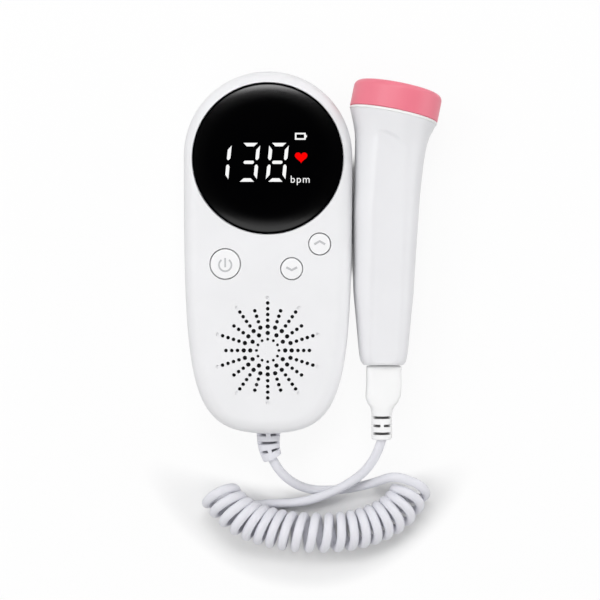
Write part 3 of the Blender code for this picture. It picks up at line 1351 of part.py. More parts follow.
def probe_electronics():
    """Board and cord socket inside the handle."""
    socket_low = TAIL_Y + FIT_GAP
    socket_high = socket_low + SOCKET_LENGTH
    half_width = SOCKET_HOLE_WIDTH / 2 - FIT_GAP
    half_height = SOCKET_HOLE_HEIGHT / 2 - FIT_GAP
    socket = box_mesh((PROBE_X - half_width, socket_low, PROBE_HEIGHT - half_height),
                      (PROBE_X + half_width, socket_high, PROBE_HEIGHT + half_height),
                      SOCKET_EDGE_RADIUS)
    socket = part("probe_socket", socket, DARK_PLASTIC)
    room_width = PLUG_SHELL_WIDTH / 2 + FIT_GAP
    room_height = PLUG_SHELL_HEIGHT / 2 + FIT_GAP
    room_depth = PLUG_FACE_Y + PLUG_SHELL_LENGTH + OVERRUN
    room = box_mesh((PROBE_X - room_width, socket_low - OVERRUN, PROBE_HEIGHT - room_height),
                    (PROBE_X + room_width, room_depth, PROBE_HEIGHT + room_height))
    cut(socket, cutter("socket_room", room))
    board_low = socket_high + FIT_GAP
    board_half = handle_section(board_low)[1] - PROBE_WALL - PROBE_BOARD_GAP
    board = box_mesh((PROBE_X - board_half, board_low,
                      PROBE_HEIGHT - PROBE_BOARD_THICKNESS / 2),
                     (PROBE_X + board_half, board_low + PROBE_BOARD_LENGTH,
                      PROBE_HEIGHT + PROBE_BOARD_THICKNESS / 2))
    return [socket, part("probe_board", board, BOARD_GREEN, 0.4)]


def probe():
    """The whole probe, parented to one empty on its sliding axis."""
    front = probe_shell("probe_front_shell", 1)
    cut(front, thumb_flat_cutter())
    rear = probe_shell("probe_rear_shell", -1)
    head_plane = head_plane_cutter()
    cut(front, head_plane)
    cut(rear, head_plane)
    pieces = [front, rear] + probe_head() + probe_electronics()
    carrier = bpy.data.objects.new("probe_axis", None)
    PARTS.objects.link(carrier)
    carrier.location = (PROBE_X, TAIL_Y, PROBE_HEIGHT)
    for piece in pieces:
        set_origin(piece, (PROBE_X, TAIL_Y, PROBE_HEIGHT))
        piece.parent = carrier
        piece.location = (0.0, 0.0, 0.0)


# Plug

def plug_length():
    """Return the length of the plug's overmould with its relief."""
    return PLUG_BODY_LENGTH + PLUG_TAPER_LENGTH + PLUG_RELIEF_LENGTH


def plug_overmould():
    """Moulded plug body: flat grip, tapering shoulders and a grooved relief."""
    half = PLUG_WIDTH / 2
    neck = PLUG_RELIEF_RADIUS - PLUG_SIDE_GAP
    shoulder = -PLUG_BODY_LENGTH
    end = shoulder - PLUG_TAPER_LENGTH
    outline = [(-half, 0.0), (-half, shoulder)]
    for share, inset_share in PLUG_TAPER_SHARES:
        outline.append((-half + (half - neck) * inset_share, shoulder - PLUG_TAPER_LENGTH * share))
    outline.append((-neck, end - ROOT))
    outline += [(-x, y) for x, y in reversed(outline)]
    mesh = plate_mesh([Vector(point) for point in outline],
                      -PLUG_THICKNESS / 2, PLUG_THICKNESS / 2)
    placing = at(PROBE_X, PLUG_FACE_Y, PROBE_HEIGHT)
    for height in (-PLUG_THICKNESS / 2, PLUG_THICKNESS / 2):
        round_rim(mesh, height, PLUG_EDGE_RADIUS)
    mesh.transform(placing)
    body = part("plug_overmould", mesh, SHELL_WHITE, 0.45)

    start = PLUG_BODY_LENGTH + PLUG_TAPER_LENGTH
    pitch = (PLUG_RELIEF_LENGTH - PLUG_END_RADIUS) / PLUG_GROOVES
    floor = PLUG_RELIEF_RADIUS - PLUG_GROOVE_DEPTH
    profile = [(0.0, OVERRUN), (neck, OVERRUN), (PLUG_RELIEF_RADIUS, 0.0)]
    for index in range(PLUG_GROOVES):
        groove = -index * pitch - PLUG_GROOVE_WIDTH
        profile += [(PLUG_RELIEF_RADIUS, groove), (floor, groove),
                    (floor, groove - PLUG_GROOVE_WIDTH),
                    (PLUG_RELIEF_RADIUS, groove - PLUG_GROOVE_WIDTH)]
    bottom = -PLUG_RELIEF_LENGTH
    profile += [(PLUG_RELIEF_RADIUS, bottom + PLUG_END_RADIUS),
                (PLUG_RELIEF_RADIUS - PLUG_END_RADIUS, bottom), (0.0, bottom)]
    placing = along_y(PROBE_X, PLUG_FACE_Y - start, PROBE_HEIGHT, 1)
    relief = turned_mesh(profile, PLUG_STEPS, placing=placing)
    join(body, cutter("plug_relief", relief))
    return body


def plug_contacts():
    """Metal shell of the plug and the contact tongue inside it."""
    half_width = PLUG_SHELL_WIDTH / 2
    half_height = PLUG_SHELL_HEIGHT / 2
    low = PLUG_FACE_Y + FIT_GAP
    high = PLUG_FACE_Y + PLUG_SHELL_LENGTH
    shell = box_mesh((PROBE_X - half_width, low, PROBE_HEIGHT - half_height),
                     (PROBE_X + half_width, high, PROBE_HEIGHT + half_height))
    shell = part("plug_shell", shell, STEEL, 0.3, 1.0)
    inner_width = half_width - PLUG_SHELL_WALL
    inner_height = half_height - PLUG_SHELL_WALL
    room = box_mesh((PROBE_X - inner_width, low - OVERRUN, PROBE_HEIGHT - inner_height),
                    (PROBE_X + inner_width, high + OVERRUN, PROBE_HEIGHT + inner_height))
    cut(shell, cutter("plug_shell_room", room))
    tongue_width = inner_width - FIT_GAP
    tongue = box_mesh((PROBE_X - tongue_width, low, PROBE_HEIGHT - PLUG_TONGUE_THICKNESS / 2),
                      (PROBE_X + tongue_width, high - OVERRUN,
                       PROBE_HEIGHT + PLUG_TONGUE_THICKNESS / 2))
    part("plug_tongue", tongue, DARK_PLASTIC)


def probe_cradle():
    """J-shaped rest on the side of the display unit that carries the handle."""
    centre_x = handle_section(CRADLE_LOW_Y + CRADLE_LENGTH / 2)[0]
    far_x, far_width, far_depth = handle_section(CRADLE_LOW_Y + CRADLE_LENGTH)
    half_width = far_width + abs(far_x - centre_x) + FIT_GAP
    half_depth = far_depth + FIT_GAP
    foot_x = HOUSING_WIDTH / 2 + FIT_GAP
    outline = []
    for start, end, wall in ((CRADLE_START_ANGLE, CRADLE_LIP_ANGLE, 0.0),
                             (CRADLE_LIP_ANGLE, CRADLE_FOOT_ANGLE, CRADLE_WALL)):
        for step in range(CRADLE_STEPS + 1):
            angle = start + (end - start) * step / CRADLE_STEPS
            across, up = section_point(half_width + wall, half_depth + wall,
                                       CRADLE_SQUARENESS, angle)
            outline.append((centre_x + across, PROBE_HEIGHT + up))
    outline += [(foot_x, PROBE_HEIGHT * CRADLE_FOOT_BOTTOM_SHARE),
                (foot_x, PROBE_HEIGHT * CRADLE_FOOT_TOP_SHARE)]
    mesh = plate_mesh([Vector(point) for point in outline], 0.0, CRADLE_LENGTH)
    turn = Matrix.Rotation(math.pi / 2, 4, "X")
    mesh.transform(at(0.0, CRADLE_LOW_Y + CRADLE_LENGTH) @ turn)
    return part("probe_cradle", mesh, SHELL_WHITE)


def build():
    """Build every sub-part."""
    front_housing()
    rear_housing()
    door = battery_door()
    set_origin(door, (0.0, DOOR_EDGE_Y, DOOR_RECESS))
    display_lens()
    for name, x, y, size in BUTTONS:
        button(name, x, y, size)
        tact_switch(name, x, y)
    main_board()
    display_module()
    speaker()
    battery_cells()
    battery_contacts()
    housing_screws()
    monitor_strain_relief()
    cord()
    probe()
    plug_overmould()
    plug_contacts()
    probe_cradle()


build()
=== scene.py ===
"""Fetal doppler monitor with its curly cord and ultrasound probe, dressed for a render.

The display unit lies on its back with its display up (+Z), the probe lies along its
right side, and the curly cord lies on the table below both. Sizes are in metres.
"""

import logging
import math
from dataclasses import dataclass, field
from enum import Enum
from typing import Callable, Iterable, Sequence

import bmesh
import bpy
import numpy as np
from mathutils import Matrix, Vector
from mathutils.geometry import interpolate_bezier


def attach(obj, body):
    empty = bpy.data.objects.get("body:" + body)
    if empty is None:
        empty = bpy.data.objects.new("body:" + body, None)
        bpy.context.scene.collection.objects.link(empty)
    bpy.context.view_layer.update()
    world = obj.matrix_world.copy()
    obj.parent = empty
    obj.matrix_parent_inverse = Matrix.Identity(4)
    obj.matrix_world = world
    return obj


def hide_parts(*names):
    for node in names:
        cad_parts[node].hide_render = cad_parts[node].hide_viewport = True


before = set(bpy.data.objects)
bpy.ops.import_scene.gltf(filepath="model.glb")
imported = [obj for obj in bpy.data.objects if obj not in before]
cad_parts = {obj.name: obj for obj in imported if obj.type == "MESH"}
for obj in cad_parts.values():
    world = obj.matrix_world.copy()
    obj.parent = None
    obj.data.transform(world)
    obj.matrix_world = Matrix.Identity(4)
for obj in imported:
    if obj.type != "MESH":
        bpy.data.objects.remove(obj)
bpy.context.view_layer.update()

LOG = logging.getLogger("doppler")

Colour = tuple[float, float, float]
Point2 = tuple[float, float]
Point3 = tuple[float, float, float]
Profile = list[Point2]
Ring = list[Vector]
Material = bpy.types.Material
Mesh = bpy.types.Mesh
Socket = bpy.types.NodeSocket

MM = 0.001
HAIR = 0.00002
WELD_GAP = 0.0000005
FIT_GAP = 0.0003
SHARP_ANGLE = math.radians(32.0)
BEVEL_ANGLE = math.radians(40.0)


class Body(Enum):
    """The bodies of the model that a piece can ride on."""

    UNIT = "display_unit"
    POWER_KEY = "power_key"
    VOLUME_UP_KEY = "volume_up_key"
    VOLUME_DOWN_KEY = "volume_down_key"
    COVER = "battery_cover"
    PROBE = "probe"


class Slot(Enum):
    """The record's material slots, one named for each new piece."""

    HOUSING = "housing_white"
    LENS = "lens_black"
    PROBE = "probe_white"
    CAP = "cap_pink"
    CORD = "cord_white"
    DARK = "dark_plastic"
    STEEL = "steel"


class KeySign(Enum):
    """The signs printed on the keys: an arrow's rise, and how far each is shifted up."""

    POWER = (0.0, -0.0001)
    UP = (0.00128, 0.0005)
    DOWN = (-0.00112, 0.0)


class Side(Enum):
    """The two halves of the probe's handle."""

    FRONT = 1
    REAR = -1


class Join(Enum):
    """What a Boolean does with its other mesh."""

    ADD = "UNION"
    CUT = "DIFFERENCE"


# Node trees and shader maths

class Signal:
    """A node's output that Python's arithmetic works on."""

    def __init__(self, tree: "NodeTree", socket: Socket) -> None:
        """Keep the socket and the tree that it belongs to."""
        self.tree = tree
        self.socket = socket

    def _maths(self, operation: str, first: object, second: object = None) -> "Signal":
        """Return what one Math node makes of two values or signals."""
        node = self.tree.node("ShaderNodeMath", {0: first, 1: second}, operation=operation)
        return Signal(self.tree, node.outputs[0])

    def __add__(self, other: object) -> "Signal":
        """Add."""
        return self._maths("ADD", self, other)

    __radd__ = __add__

    def __sub__(self, other: object) -> "Signal":
        """Subtract."""
        return self._maths("SUBTRACT", self, other)

    def __rsub__(self, other: object) -> "Signal":
        """Subtract this from a value."""
        return self._maths("SUBTRACT", other, self)

    def __mul__(self, other: object) -> "Signal":
        """Multiply."""
        return self._maths("MULTIPLY", self, other)

    __rmul__ = __mul__

    def above(self, limit: float) -> "Signal":
        """Return 1 where the signal is above a limit."""
        return self._maths("GREATER_THAN", self, limit)

    def larger(self, other: object) -> "Signal":
        """Return the larger of two signals."""
        return self._maths("MAXIMUM", self, other)

    def wave(self, length: float) -> "Signal":
        """Return a wave from 0 to 1 with a length in the signal's own unit."""
        return self._maths("SINE", self * (math.tau / length)) * 0.5 + 0.5

    def ramp(self, low: float, high: float) -> "Signal":
        """Return 0 below low and 1 above high, with a smooth step between."""
        node = self.tree.node("ShaderNodeMapRange", {0: self, 1: low, 2: high, 3: 0.0, 4: 1.0},
                              interpolation_type="SMOOTHSTEP")
        return Signal(self.tree, node.outputs[0])


class NodeTree:
    """A node tree of either kind, with one method that makes any node."""

    def __init__(self, tree: bpy.types.NodeTree) -> None:
        """Keep the tree."""
        self.tree = tree

    def node(self, kind: str, values: dict | None = None, **settings: object) -> bpy.types.Node:
        """Make one node.

        Args:
            kind: the node's type.
            values: the values or links of its sockets, by name or number.
            settings: its own settings, which are set first.

        Returns:
            The node.
        """
        node = self.tree.nodes.new(kind)
        for key, value in settings.items():
            setattr(node, key, value)
        for key, value in (values or {}).items():
            self.feed(node.inputs[key], value)
        return node

    def feed(self, socket: Socket, value: object) -> None:
        """Link a signal, a socket or a node to a socket, or set its value."""
        if isinstance(value, Signal):
            value = value.socket
        elif isinstance(value, bpy.types.Node):
            value = value.outputs[0]
        if isinstance(value, Socket):
            self.tree.links.new(value, socket)
        elif value is not None:
            socket.default_value = value

    def mixed(self, low: object, high: object, amount: Signal) -> Socket:
        """Return a colour between two colours.

        Args:
            low: the colour at 0.
            high: the colour at 1.
            amount: how far between them.

        Returns:
            The mixed colour's socket.
        """
        low, high = ((*item, 1.0) if isinstance(item, tuple) else item for item in (low, high))
        node = self.node("ShaderNodeMix", {0: amount, 6: low, 7: high}, data_type="RGBA")
        return node.outputs[2]

    def split(self, vector: Socket) -> tuple[Signal, ...]:
        """Return a vector's three parts as signals."""
        parts = self.node("ShaderNodeSeparateXYZ", {0: vector})
        return tuple(Signal(self, output) for output in parts.outputs)


class Shader(NodeTree):
    """A Principled material that is built up from signals."""

    def __init__(self, name: str, roughness: float, metallic: float = 0.0, **constants: object) -> None:
        """Start a material; constants are the shader's own sockets, such as IOR.

        Args:
            name: the material's name.
            roughness: the plain roughness.
            metallic: 1 for metal.
            constants: other socket values, with _ for a space in their names.
        """
        self.material = bpy.data.materials.new(name)
        self.material.use_nodes = True
        super().__init__(self.material.node_tree)
        self.surface = self.tree.nodes["Principled BSDF"]
        for key, value in {"Roughness": roughness, "Metallic": metallic, **constants}.items():
            self.dress(key.replace("_", " "), value)

    def place(self) -> Socket:
        """Return the Object coordinates."""
        return self.node("ShaderNodeTexCoord").outputs["Object"]

    def axes(self) -> tuple[Signal, ...]:
        """Return the three Object coordinates as signals."""
        return self.split(self.place())

    def distance(self, centre: Sequence[float]) -> Signal:
        """Return the distance from a point."""
        node = self.node("ShaderNodeVectorMath", {0: self.place(), 1: tuple(centre)},
                         operation="DISTANCE")
        return Signal(self, node.outputs["Value"])

    def noise(self, scale: float, detail: float = 2.0, stretch: Point3 = (1.0, 1.0, 1.0)) -> Signal:
        """Return noise on the Object coordinates.

        Args:
            scale: how many lumps a metre.
            detail: how many finer layers.
            stretch: how much each axis is scaled first.

        Returns:
            The noise from 0 to 1.
        """
        mapping = self.node("ShaderNodeMapping", {"Vector": self.place(), "Scale": stretch})
        noise = self.node("ShaderNodeTexNoise", {"Vector": mapping, "Scale": scale, "Detail": detail})
        return Signal(self, noise.outputs[0])

    def cells(self, scale: float) -> Signal:
        """Return the distance to the nearest point of a cell pattern."""
        node = self.node("ShaderNodeTexVoronoi", {"Vector": self.place(), "Scale": scale})
        return Signal(self, node.outputs["Distance"])

    def bumped(self, height: Signal, strength: float, depth: float) -> None:
        """Raise the surface's normal by a height signal."""
        self.dress("Normal", self.node("ShaderNodeBump", {
            "Height": height, "Strength": strength, "Distance": depth}))

    def dress(self, socket: str, value: object) -> None:
        """Feed one socket of the Principled shader."""
        self.feed(self.surface.inputs[socket], value)


# Finishes

def scaled(colour: Colour, share: float) -> Colour:
    """Return a colour with each channel multiplied by a share."""
    return tuple(channel * share for channel in colour)


@dataclass(frozen=True)
class MouldedPlastic:
    """Injection-moulded plastic: fine spark grain, faint flow marks, handled sheen."""

    name: str
    colour: Colour
    roughness: float = 0.42
    grain: float = 5200.0
    grain_depth: float = 0.000012
    grain_strength: float = 0.25
    tint_spread: float = 0.030
    sheen_spread: float = 0.10
    coat: float = 0.0
    coat_roughness: float = 0.10
    cloud_scale: float = 34.0
    cloud_step: Point2 = (0.3, 0.7)
    ripple_scale: float = 420.0

    def tint(self, shader: Shader, clouds: Signal) -> Socket:
        """Return the colour, a touch duller where the flow marks are."""
        duller = scaled(self.colour, 1.0 - self.tint_spread)
        return shader.mixed(duller, self.colour, clouds.ramp(*self.cloud_step))

    def material(self) -> Material:
        """Return the finish as a material."""
        shader = Shader(self.name, self.roughness, Coat_Weight=self.coat,
                        Coat_Roughness=self.coat_roughness)
        clouds = shader.noise(self.cloud_scale, 3.0)
        grain = shader.noise(self.grain, 2.0)
        shader.dress("Base Color", self.tint(shader, clouds))
        shader.dress("Roughness", (clouds - 0.5) * self.sheen_spread
                     + (grain - 0.5) * (self.sheen_spread / 2) + self.roughness)
        shader.bumped(grain + shader.noise(self.ripple_scale, 1.0) * 0.5, self.grain_strength,
                      self.grain_depth)
        return shader.material


@dataclass(frozen=True)
class RibbedPlastic(MouldedPlastic):
    """Moulded plastic of a strain relief, with painted shade deep in its narrow cuts."""

    origin: Point3 = (0.0, 0.0, 0.0)
    way: Point3 = (0.0, -1.0, 0.0)
    reach: float = 0.0084
    open_from: Point2 = (0.0024, 0.0040)
    # Painted shade: the colour at the bottom of the narrow cuts.
    painted_groove_shade: Colour = (0.13, 0.13, 0.13)

    def tint(self, shader: Shader, clouds: Signal) -> Socket:
        """Return the colour, with painted shade near the relief's own line, deep in its cuts.

        Args:
            shader: the material's tree.
            clouds: where the flow marks are.

        Returns:
            The colour's socket.
        """
        x, y, z = (axis - start for axis, start in zip(shader.axes(), self.origin))
        along = x * self.way[0] + y * self.way[1] + z * self.way[2]
        square = x * x + y * y + z * z - along * along
        # Painted shade: the colour darkens close to the relief's line, where the narrow cuts run deep.
        near = 1.0 - square.ramp(self.open_from[0] ** 2, self.open_from[1] ** 2)
        near = near * along.above(0.0) * (1.0 - along.above(self.reach))
        return shader.mixed(super().tint(shader, clouds), self.painted_groove_shade, near)


@dataclass(frozen=True)
class LensGloss:
    """Black tinted cover lens, polished, with its clear coat strongest near the rim."""

    name: str
    centre: Point3
    colour: Colour = (0.0004, 0.0004, 0.0006)
    smeared: Colour = (0.0008, 0.0008, 0.0010)
    coat_step: Point2 = (0.0220, 0.0286)
    coat_least: float = 0.10
    rim_line: Point2 = (0.0292, 0.0296)

    def material(self) -> Material:
        """Return the finish as a material."""
        shader = Shader(self.name, 0.16, Specular_IOR_Level=0.0, Coat_Roughness=0.11, Coat_IOR=1.5)
        smears = shader.noise(120.0, 3.0)
        reach = shader.distance(self.centre)
        shader.dress("Base Color", shader.mixed(self.colour, self.smeared, smears))
        shader.dress("Roughness", smears * 0.08 + 0.12)
        coat = reach.ramp(*self.coat_step) * (1.0 - self.coat_least) + self.coat_least
        shader.dress("Coat Weight", coat * (1.0 - reach.ramp(*self.rim_line)))
        shader.bumped(shader.noise(60.0, 1.0), 0.05, 0.00002)
        return shader.material


@dataclass(frozen=True)
class Lit:
    """A lit part of the display: an even glow with a faintly darker edge grain."""

    name: str
    colour: Colour
    strength: float = 0.98
    unlit: Colour = (0.002, 0.002, 0.002)

    def material(self) -> Material:
        """Return the finish as a material."""
        shader = Shader(self.name, 0.5, Emission_Strength=self.strength, Specular_IOR_Level=0.0)
        grain = shader.noise(1800.0, 1.0)
        shader.dress("Emission Color", shader.mixed(scaled(self.colour, 0.95), self.colour,
                                                    grain.ramp(0.3, 0.6)))
        shader.dress("Base Color", shader.mixed((0.0, 0.0, 0.0), self.unlit, grain))
        return shader.material


@dataclass(frozen=True)
class Ink:
    """Pad-printed ink with a slightly uneven edge of cover."""

    name: str
    colour: Colour
    roughness: float = 0.5

    def material(self) -> Material:
        """Return the finish as a material."""
        shader = Shader(self.name, self.roughness)
        cover = shader.noise(2600.0, 2.0)
        thin = tuple(0.88 * channel + 0.12 * 0.85 for channel in self.colour)
        shader.dress("Base Color", shader.mixed(thin, self.colour, cover.ramp(0.25, 0.55)))
        shader.dress("Roughness", cover * 0.15 + (self.roughness - 0.07))
        shader.bumped(cover, 0.15, 0.00001)
        return shader.material


@dataclass(frozen=True)
class WovenCloth:
    """Fine black dust cloth: two crossing threads a third of a millimetre apart."""

    name: str
    colour: Colour = (0.012, 0.012, 0.014)
    thread: float = 0.00033

    def material(self) -> Material:
        """Return the finish as a material."""
        shader = Shader(self.name, 0.85)
        across, along, _ = shader.axes()
        weave = across.wave(self.thread) * along.wave(self.thread)
        fuzz = shader.noise(3000.0, 2.0)
        shader.dress("Base Color", shader.mixed(self.colour, scaled(self.colour, 2.2), weave))
        shader.dress("Roughness", fuzz * 0.1 + 0.80)
        shader.bumped(weave + fuzz * 0.3, 0.6, 0.00008)
        return shader.material


@dataclass(frozen=True)
class Metal:
    """Plated or drawn metal with fine lines along one axis."""

    name: str
    colour: Colour = (0.66, 0.66, 0.68)
    roughness: float = 0.28
    stretch: Point3 = (1.0, 14.0, 14.0)

    def material(self) -> Material:
        """Return the finish as a material."""
        shader = Shader(self.name, self.roughness, 1.0)
        lines = shader.noise(900.0, 3.0, self.stretch)
        stain = shader.noise(90.0, 3.0)
        shader.dress("Base Color", shader.mixed(scaled(self.colour, 0.80), self.colour,
                                                stain.ramp(0.3, 0.6)))
        shader.dress("Roughness", lines * 0.16 + stain * 0.10 + (self.roughness - 0.12))
        shader.bumped(lines, 0.12, 0.00001)
        return shader.material


@dataclass(frozen=True)
class CircuitBoard:
    """Green solder mask over copper tracks, with tinned pads."""

    name: str
    mask: Colour = (0.010, 0.120, 0.050)
    track: Colour = (0.030, 0.230, 0.095)
    pad: Colour = (0.62, 0.60, 0.55)

    def material(self) -> Material:
        """Return the finish as a material."""
        shader = Shader(self.name, 0.32, Coat_Weight=0.3, Coat_Roughness=0.15)
        across, along, _ = shader.axes()
        runs = across.wave(0.0014).above(0.82) * shader.noise(150.0, 0.0).above(0.50)
        turns = along.wave(0.0017).above(0.84) * shader.noise(170.0, 0.0).above(0.52)
        tracks = runs.larger(turns)
        pads = 1.0 - shader.cells(330.0).ramp(0.16, 0.20)
        green = shader.mixed(self.mask, self.track, tracks)
        shader.dress("Base Color", shader.mixed(green, self.pad, pads))
        shader.dress("Metallic", pads * 0.8)
        shader.dress("Roughness", shader.noise(400.0, 2.0) * 0.2 + 0.22)
        shader.bumped(tracks + pads, 0.4, 0.00004)
        return shader.material


@dataclass(frozen=True)
class CellJacket:
    """Printed battery sleeve with a plain band and bright ends."""

    name: str
    band_ends: Point2
    body: Colour = (0.045, 0.050, 0.060)
    band: Colour = (0.48, 0.36, 0.16)

    def material(self) -> Material:
        """Return the finish as a material."""
        shader = Shader(self.name, 0.30, 0.5, Coat_Weight=0.4, Coat_Roughness=0.1)
        _, along, _ = shader.axes()
        edge = HAIR * 4
        below, above = (along.ramp(place - edge, place + edge) for place in self.band_ends)
        inside = below * (1.0 - above)
        scuffs = shader.noise(300.0, 3.0)
        shader.dress("Base Color", shader.mixed(self.body, self.band, inside))
        shader.dress("Roughness", scuffs * 0.2 + 0.22)
        shader.bumped(scuffs, 0.1, 0.00002)
        return shader.material


@dataclass(frozen=True)
class StudioFloor:
    """White sweep that shows white to the camera, with painted shadow under the coil and between the
    housing and the handle, where its glow fades out to show its darker paper and its real shade.
    """

    name: str = "white_sweep"
    glow: float = 0.91
    # Painted shadow: ellipses (centre, half size, fade, bend) where the floor's glow fades out.
    painted_shadows: tuple[tuple[Point2, Point2, Point2, float], ...] = (
        ((0.0165, -0.1195), (0.0640, 0.0205), (0.50, 1.25), 6.0),
        ((0.0512, -0.0978), (0.0078, 0.0056), (0.40, 1.25), 0.0),
        ((0.0352, 0.0155), (0.0060, 0.0250), (0.55, 1.20), 0.0))
    shown: Colour = (0.92, 0.92, 0.92)
    bounced: Colour = (0.22, 0.22, 0.22)

    def material(self) -> Material:
        """Return the finish as a material."""
        material = bpy.data.materials.new(self.name)
        material.use_nodes = True
        tree = NodeTree(material.node_tree)
        tree.tree.nodes.clear()
        rays = tree.node("ShaderNodeLightPath")
        camera, glossy, clear = (Signal(tree, rays.outputs[f"Is {kind} Ray"])
                                 for kind in ("Camera", "Glossy", "Transmission"))
        seen = (camera + glossy).larger(clear)
        paper = tree.node("ShaderNodeBsdfDiffuse",
                          {"Color": tree.mixed(self.bounced, self.shown, seen)})
        glow = tree.node("ShaderNodeEmission", {"Strength": 1.0})
        place = tree.node("ShaderNodeTexCoord").outputs["Object"]
        x, y, _ = tree.split(place)
        share = seen * self.glow
        # Painted shadow: the glow fades out inside each ellipse, so the floor is darker there, partly
        # painted and partly its real shade.
        for centre, half, fade, bend in self.painted_shadows:
            across = x - centre[0]
            along = (y - centre[1] - across * across * bend) * (1 / half[1])
            across = across * (1 / half[0])
            share = share * (across * across + along * along).ramp(*fade)
        mix = tree.node("ShaderNodeMixShader", {0: share, 1: paper, 2: glow})
        tree.node("ShaderNodeOutputMaterial", {"Surface": mix})
        return material


# Mesh tools

def new_mesh(build: Callable[[bmesh.types.BMesh], None]) -> Mesh:
    """Return a clean mesh: doubles merged and faces turned outwards.

    Args:
        build: a function that adds its points and faces.

    Returns:
        The mesh.
    """
    shape = bmesh.new()
    build(shape)
    bmesh.ops.remove_doubles(shape, verts=shape.verts, dist=WELD_GAP)
    bmesh.ops.recalc_face_normals(shape, faces=shape.faces)
    mesh = bpy.data.meshes.new("shape")
    shape.to_mesh(mesh)
    shape.free()
    return mesh


def add_faces(shape: bmesh.types.BMesh, rows: Sequence[Sequence[bmesh.types.BMVert]],
              closed: bool = True) -> None:
    """Add the faces between rows of points; a row of one point is a pole.

    Args:
        shape: the mesh that they are added to.
        rows: the rows, in order.
        closed: whether each row joins its own start.
    """
    for low, high in zip(rows, rows[1:]):
        count = max(len(low), len(high))
        for index in range(count if closed else count - 1):
            after = (index + 1) % count
            corners = list(dict.fromkeys((low[index % len(low)], low[after % len(low)],
                                          high[after % len(high)], high[index % len(high)])))
            if len(corners) > 2:
                shape.faces.new(corners)


def add_skin(shape: bmesh.types.BMesh, rings: Iterable[Iterable[Sequence[float]]],
             cyclic: bool = False, capped: bool = True) -> None:
    """Add a skin over closed rings of points.

    Args:
        shape: the mesh that it is added to.
        rings: the rings, in order.
        cyclic: whether the last ring joins the first.
        capped: whether the first and the last ring are closed with a face.
    """
    rows = [[shape.verts.new(point) for point in ring] for ring in rings]
    add_faces(shape, rows + rows[:1] if cyclic else rows)
    if capped:
        shape.faces.new(rows[0])
        shape.faces.new(rows[-1])


def loft(rings: Sequence[Ring]) -> Mesh:
    """Return a capped skin over closed rings with equal counts."""
    return new_mesh(lambda shape: add_skin(shape, rings))


def turned(profile: Profile, steps: int, placing: Matrix, cyclic: bool = False) -> Mesh:
    """Return a shape turned about Z and put in its place.

    Args:
        profile: radius and height of each point; radius 0 is a pole.
        steps: how many steps a turn has.
        placing: the matrix of its place.
        cyclic: whether the last point joins the first.

    Returns:
        The mesh.
    """
    rings = [[(radius * math.cos(math.tau * step / steps),
               radius * math.sin(math.tau * step / steps), height)
              for step in range(1 if radius < WELD_GAP else steps)]
             for radius, height in profile]
    mesh = new_mesh(lambda shape: add_skin(shape, rings, cyclic, False))
    mesh.transform(placing)
    return mesh


def cylinder(radius: float, low: float, high: float, steps: int, placing: Matrix) -> Mesh:
    """Return a plain round peg, used only to cut or join."""
    return turned([(0.0, low), (radius, low), (radius, high), (0.0, high)], steps, placing)


def plates(outlines: Iterable[Sequence[Point2]], bottom: float, top: float) -> Mesh:
    """Return flat plates with the given outlines, from one height to another.

    Args:
        outlines: the outlines.
        bottom: the lower height.
        top: the upper height.

    Returns:
        The mesh.
    """
    def build(shape: bmesh.types.BMesh) -> None:
        """Add every plate."""
        for outline in outlines:
            add_skin(shape, [[(x, y, height) for x, y in outline] for height in (bottom, top)])
    return new_mesh(build)


def rectangle(low: Point2, high: Point2) -> list[Point2]:
    """Return the outline of a rectangle between two corners."""
    return [low, (high[0], low[1]), high, (low[0], high[1])]


def strip(centre: Sequence[Point2], width: float) -> list[Point2]:
    """Return the outline of a stroke of one width along a line of points.

    Args:
        centre: the middle line.
        width: the stroke's width.

    Returns:
        The outline.
    """
    left, right = [], []
    for index, (x, y) in enumerate(centre):
        before = centre[max(index - 1, 0)]
        after = centre[min(index + 1, len(centre) - 1)]
        along = Vector((after[0] - before[0], after[1] - before[1])).normalized()
        left.append((x - along.y * width / 2, y + along.x * width / 2))
        right.append((x + along.y * width / 2, y - along.x * width / 2))
    return left + right[::-1]


def bend_arc(centre: Point2, radius: float, start: float, end: float, steps: int) -> Profile:
    """Return the points of an arc from one angle to another, in so many steps."""
    angles = np.linspace(start, end, steps + 1)
    return [(centre[0] + radius * math.cos(angle), centre[1] + radius * math.sin(angle))
            for angle in angles]


def at(x: float, y: float, z: float = 0.0) -> Matrix:
    """Return the matrix that moves a shape to a place."""
    return Matrix.Translation((x, y, z))


def box(low: Sequence[float], high: Sequence[float]) -> Mesh:
    """Return a plain block between two corners, used only to cut or join."""
    return plates([rectangle((low[0], low[1]), (high[0], high[1]))], low[2], high[2])


def baked(item: bpy.types.Object) -> Mesh:
    """Return the object's evaluated mesh and remove the object.

    Args:
        item: the object.

    Returns:
        Its evaluated mesh.
    """
    bpy.context.view_layer.update()
    graph = bpy.context.evaluated_depsgraph_get()
    mesh = bpy.data.meshes.new_from_object(item.evaluated_get(graph), depsgraph=graph)
    bpy.data.objects.remove(item)
    return mesh


def loose(name: str, data: bpy.types.ID) -> bpy.types.Object:
    """Return a linked object that holds a mesh, a lamp or other data.

    Args:
        name: its name.
        data: what it holds.

    Returns:
        The object.
    """
    item = bpy.data.objects.new(name, data)
    bpy.context.scene.collection.objects.link(item)
    return item


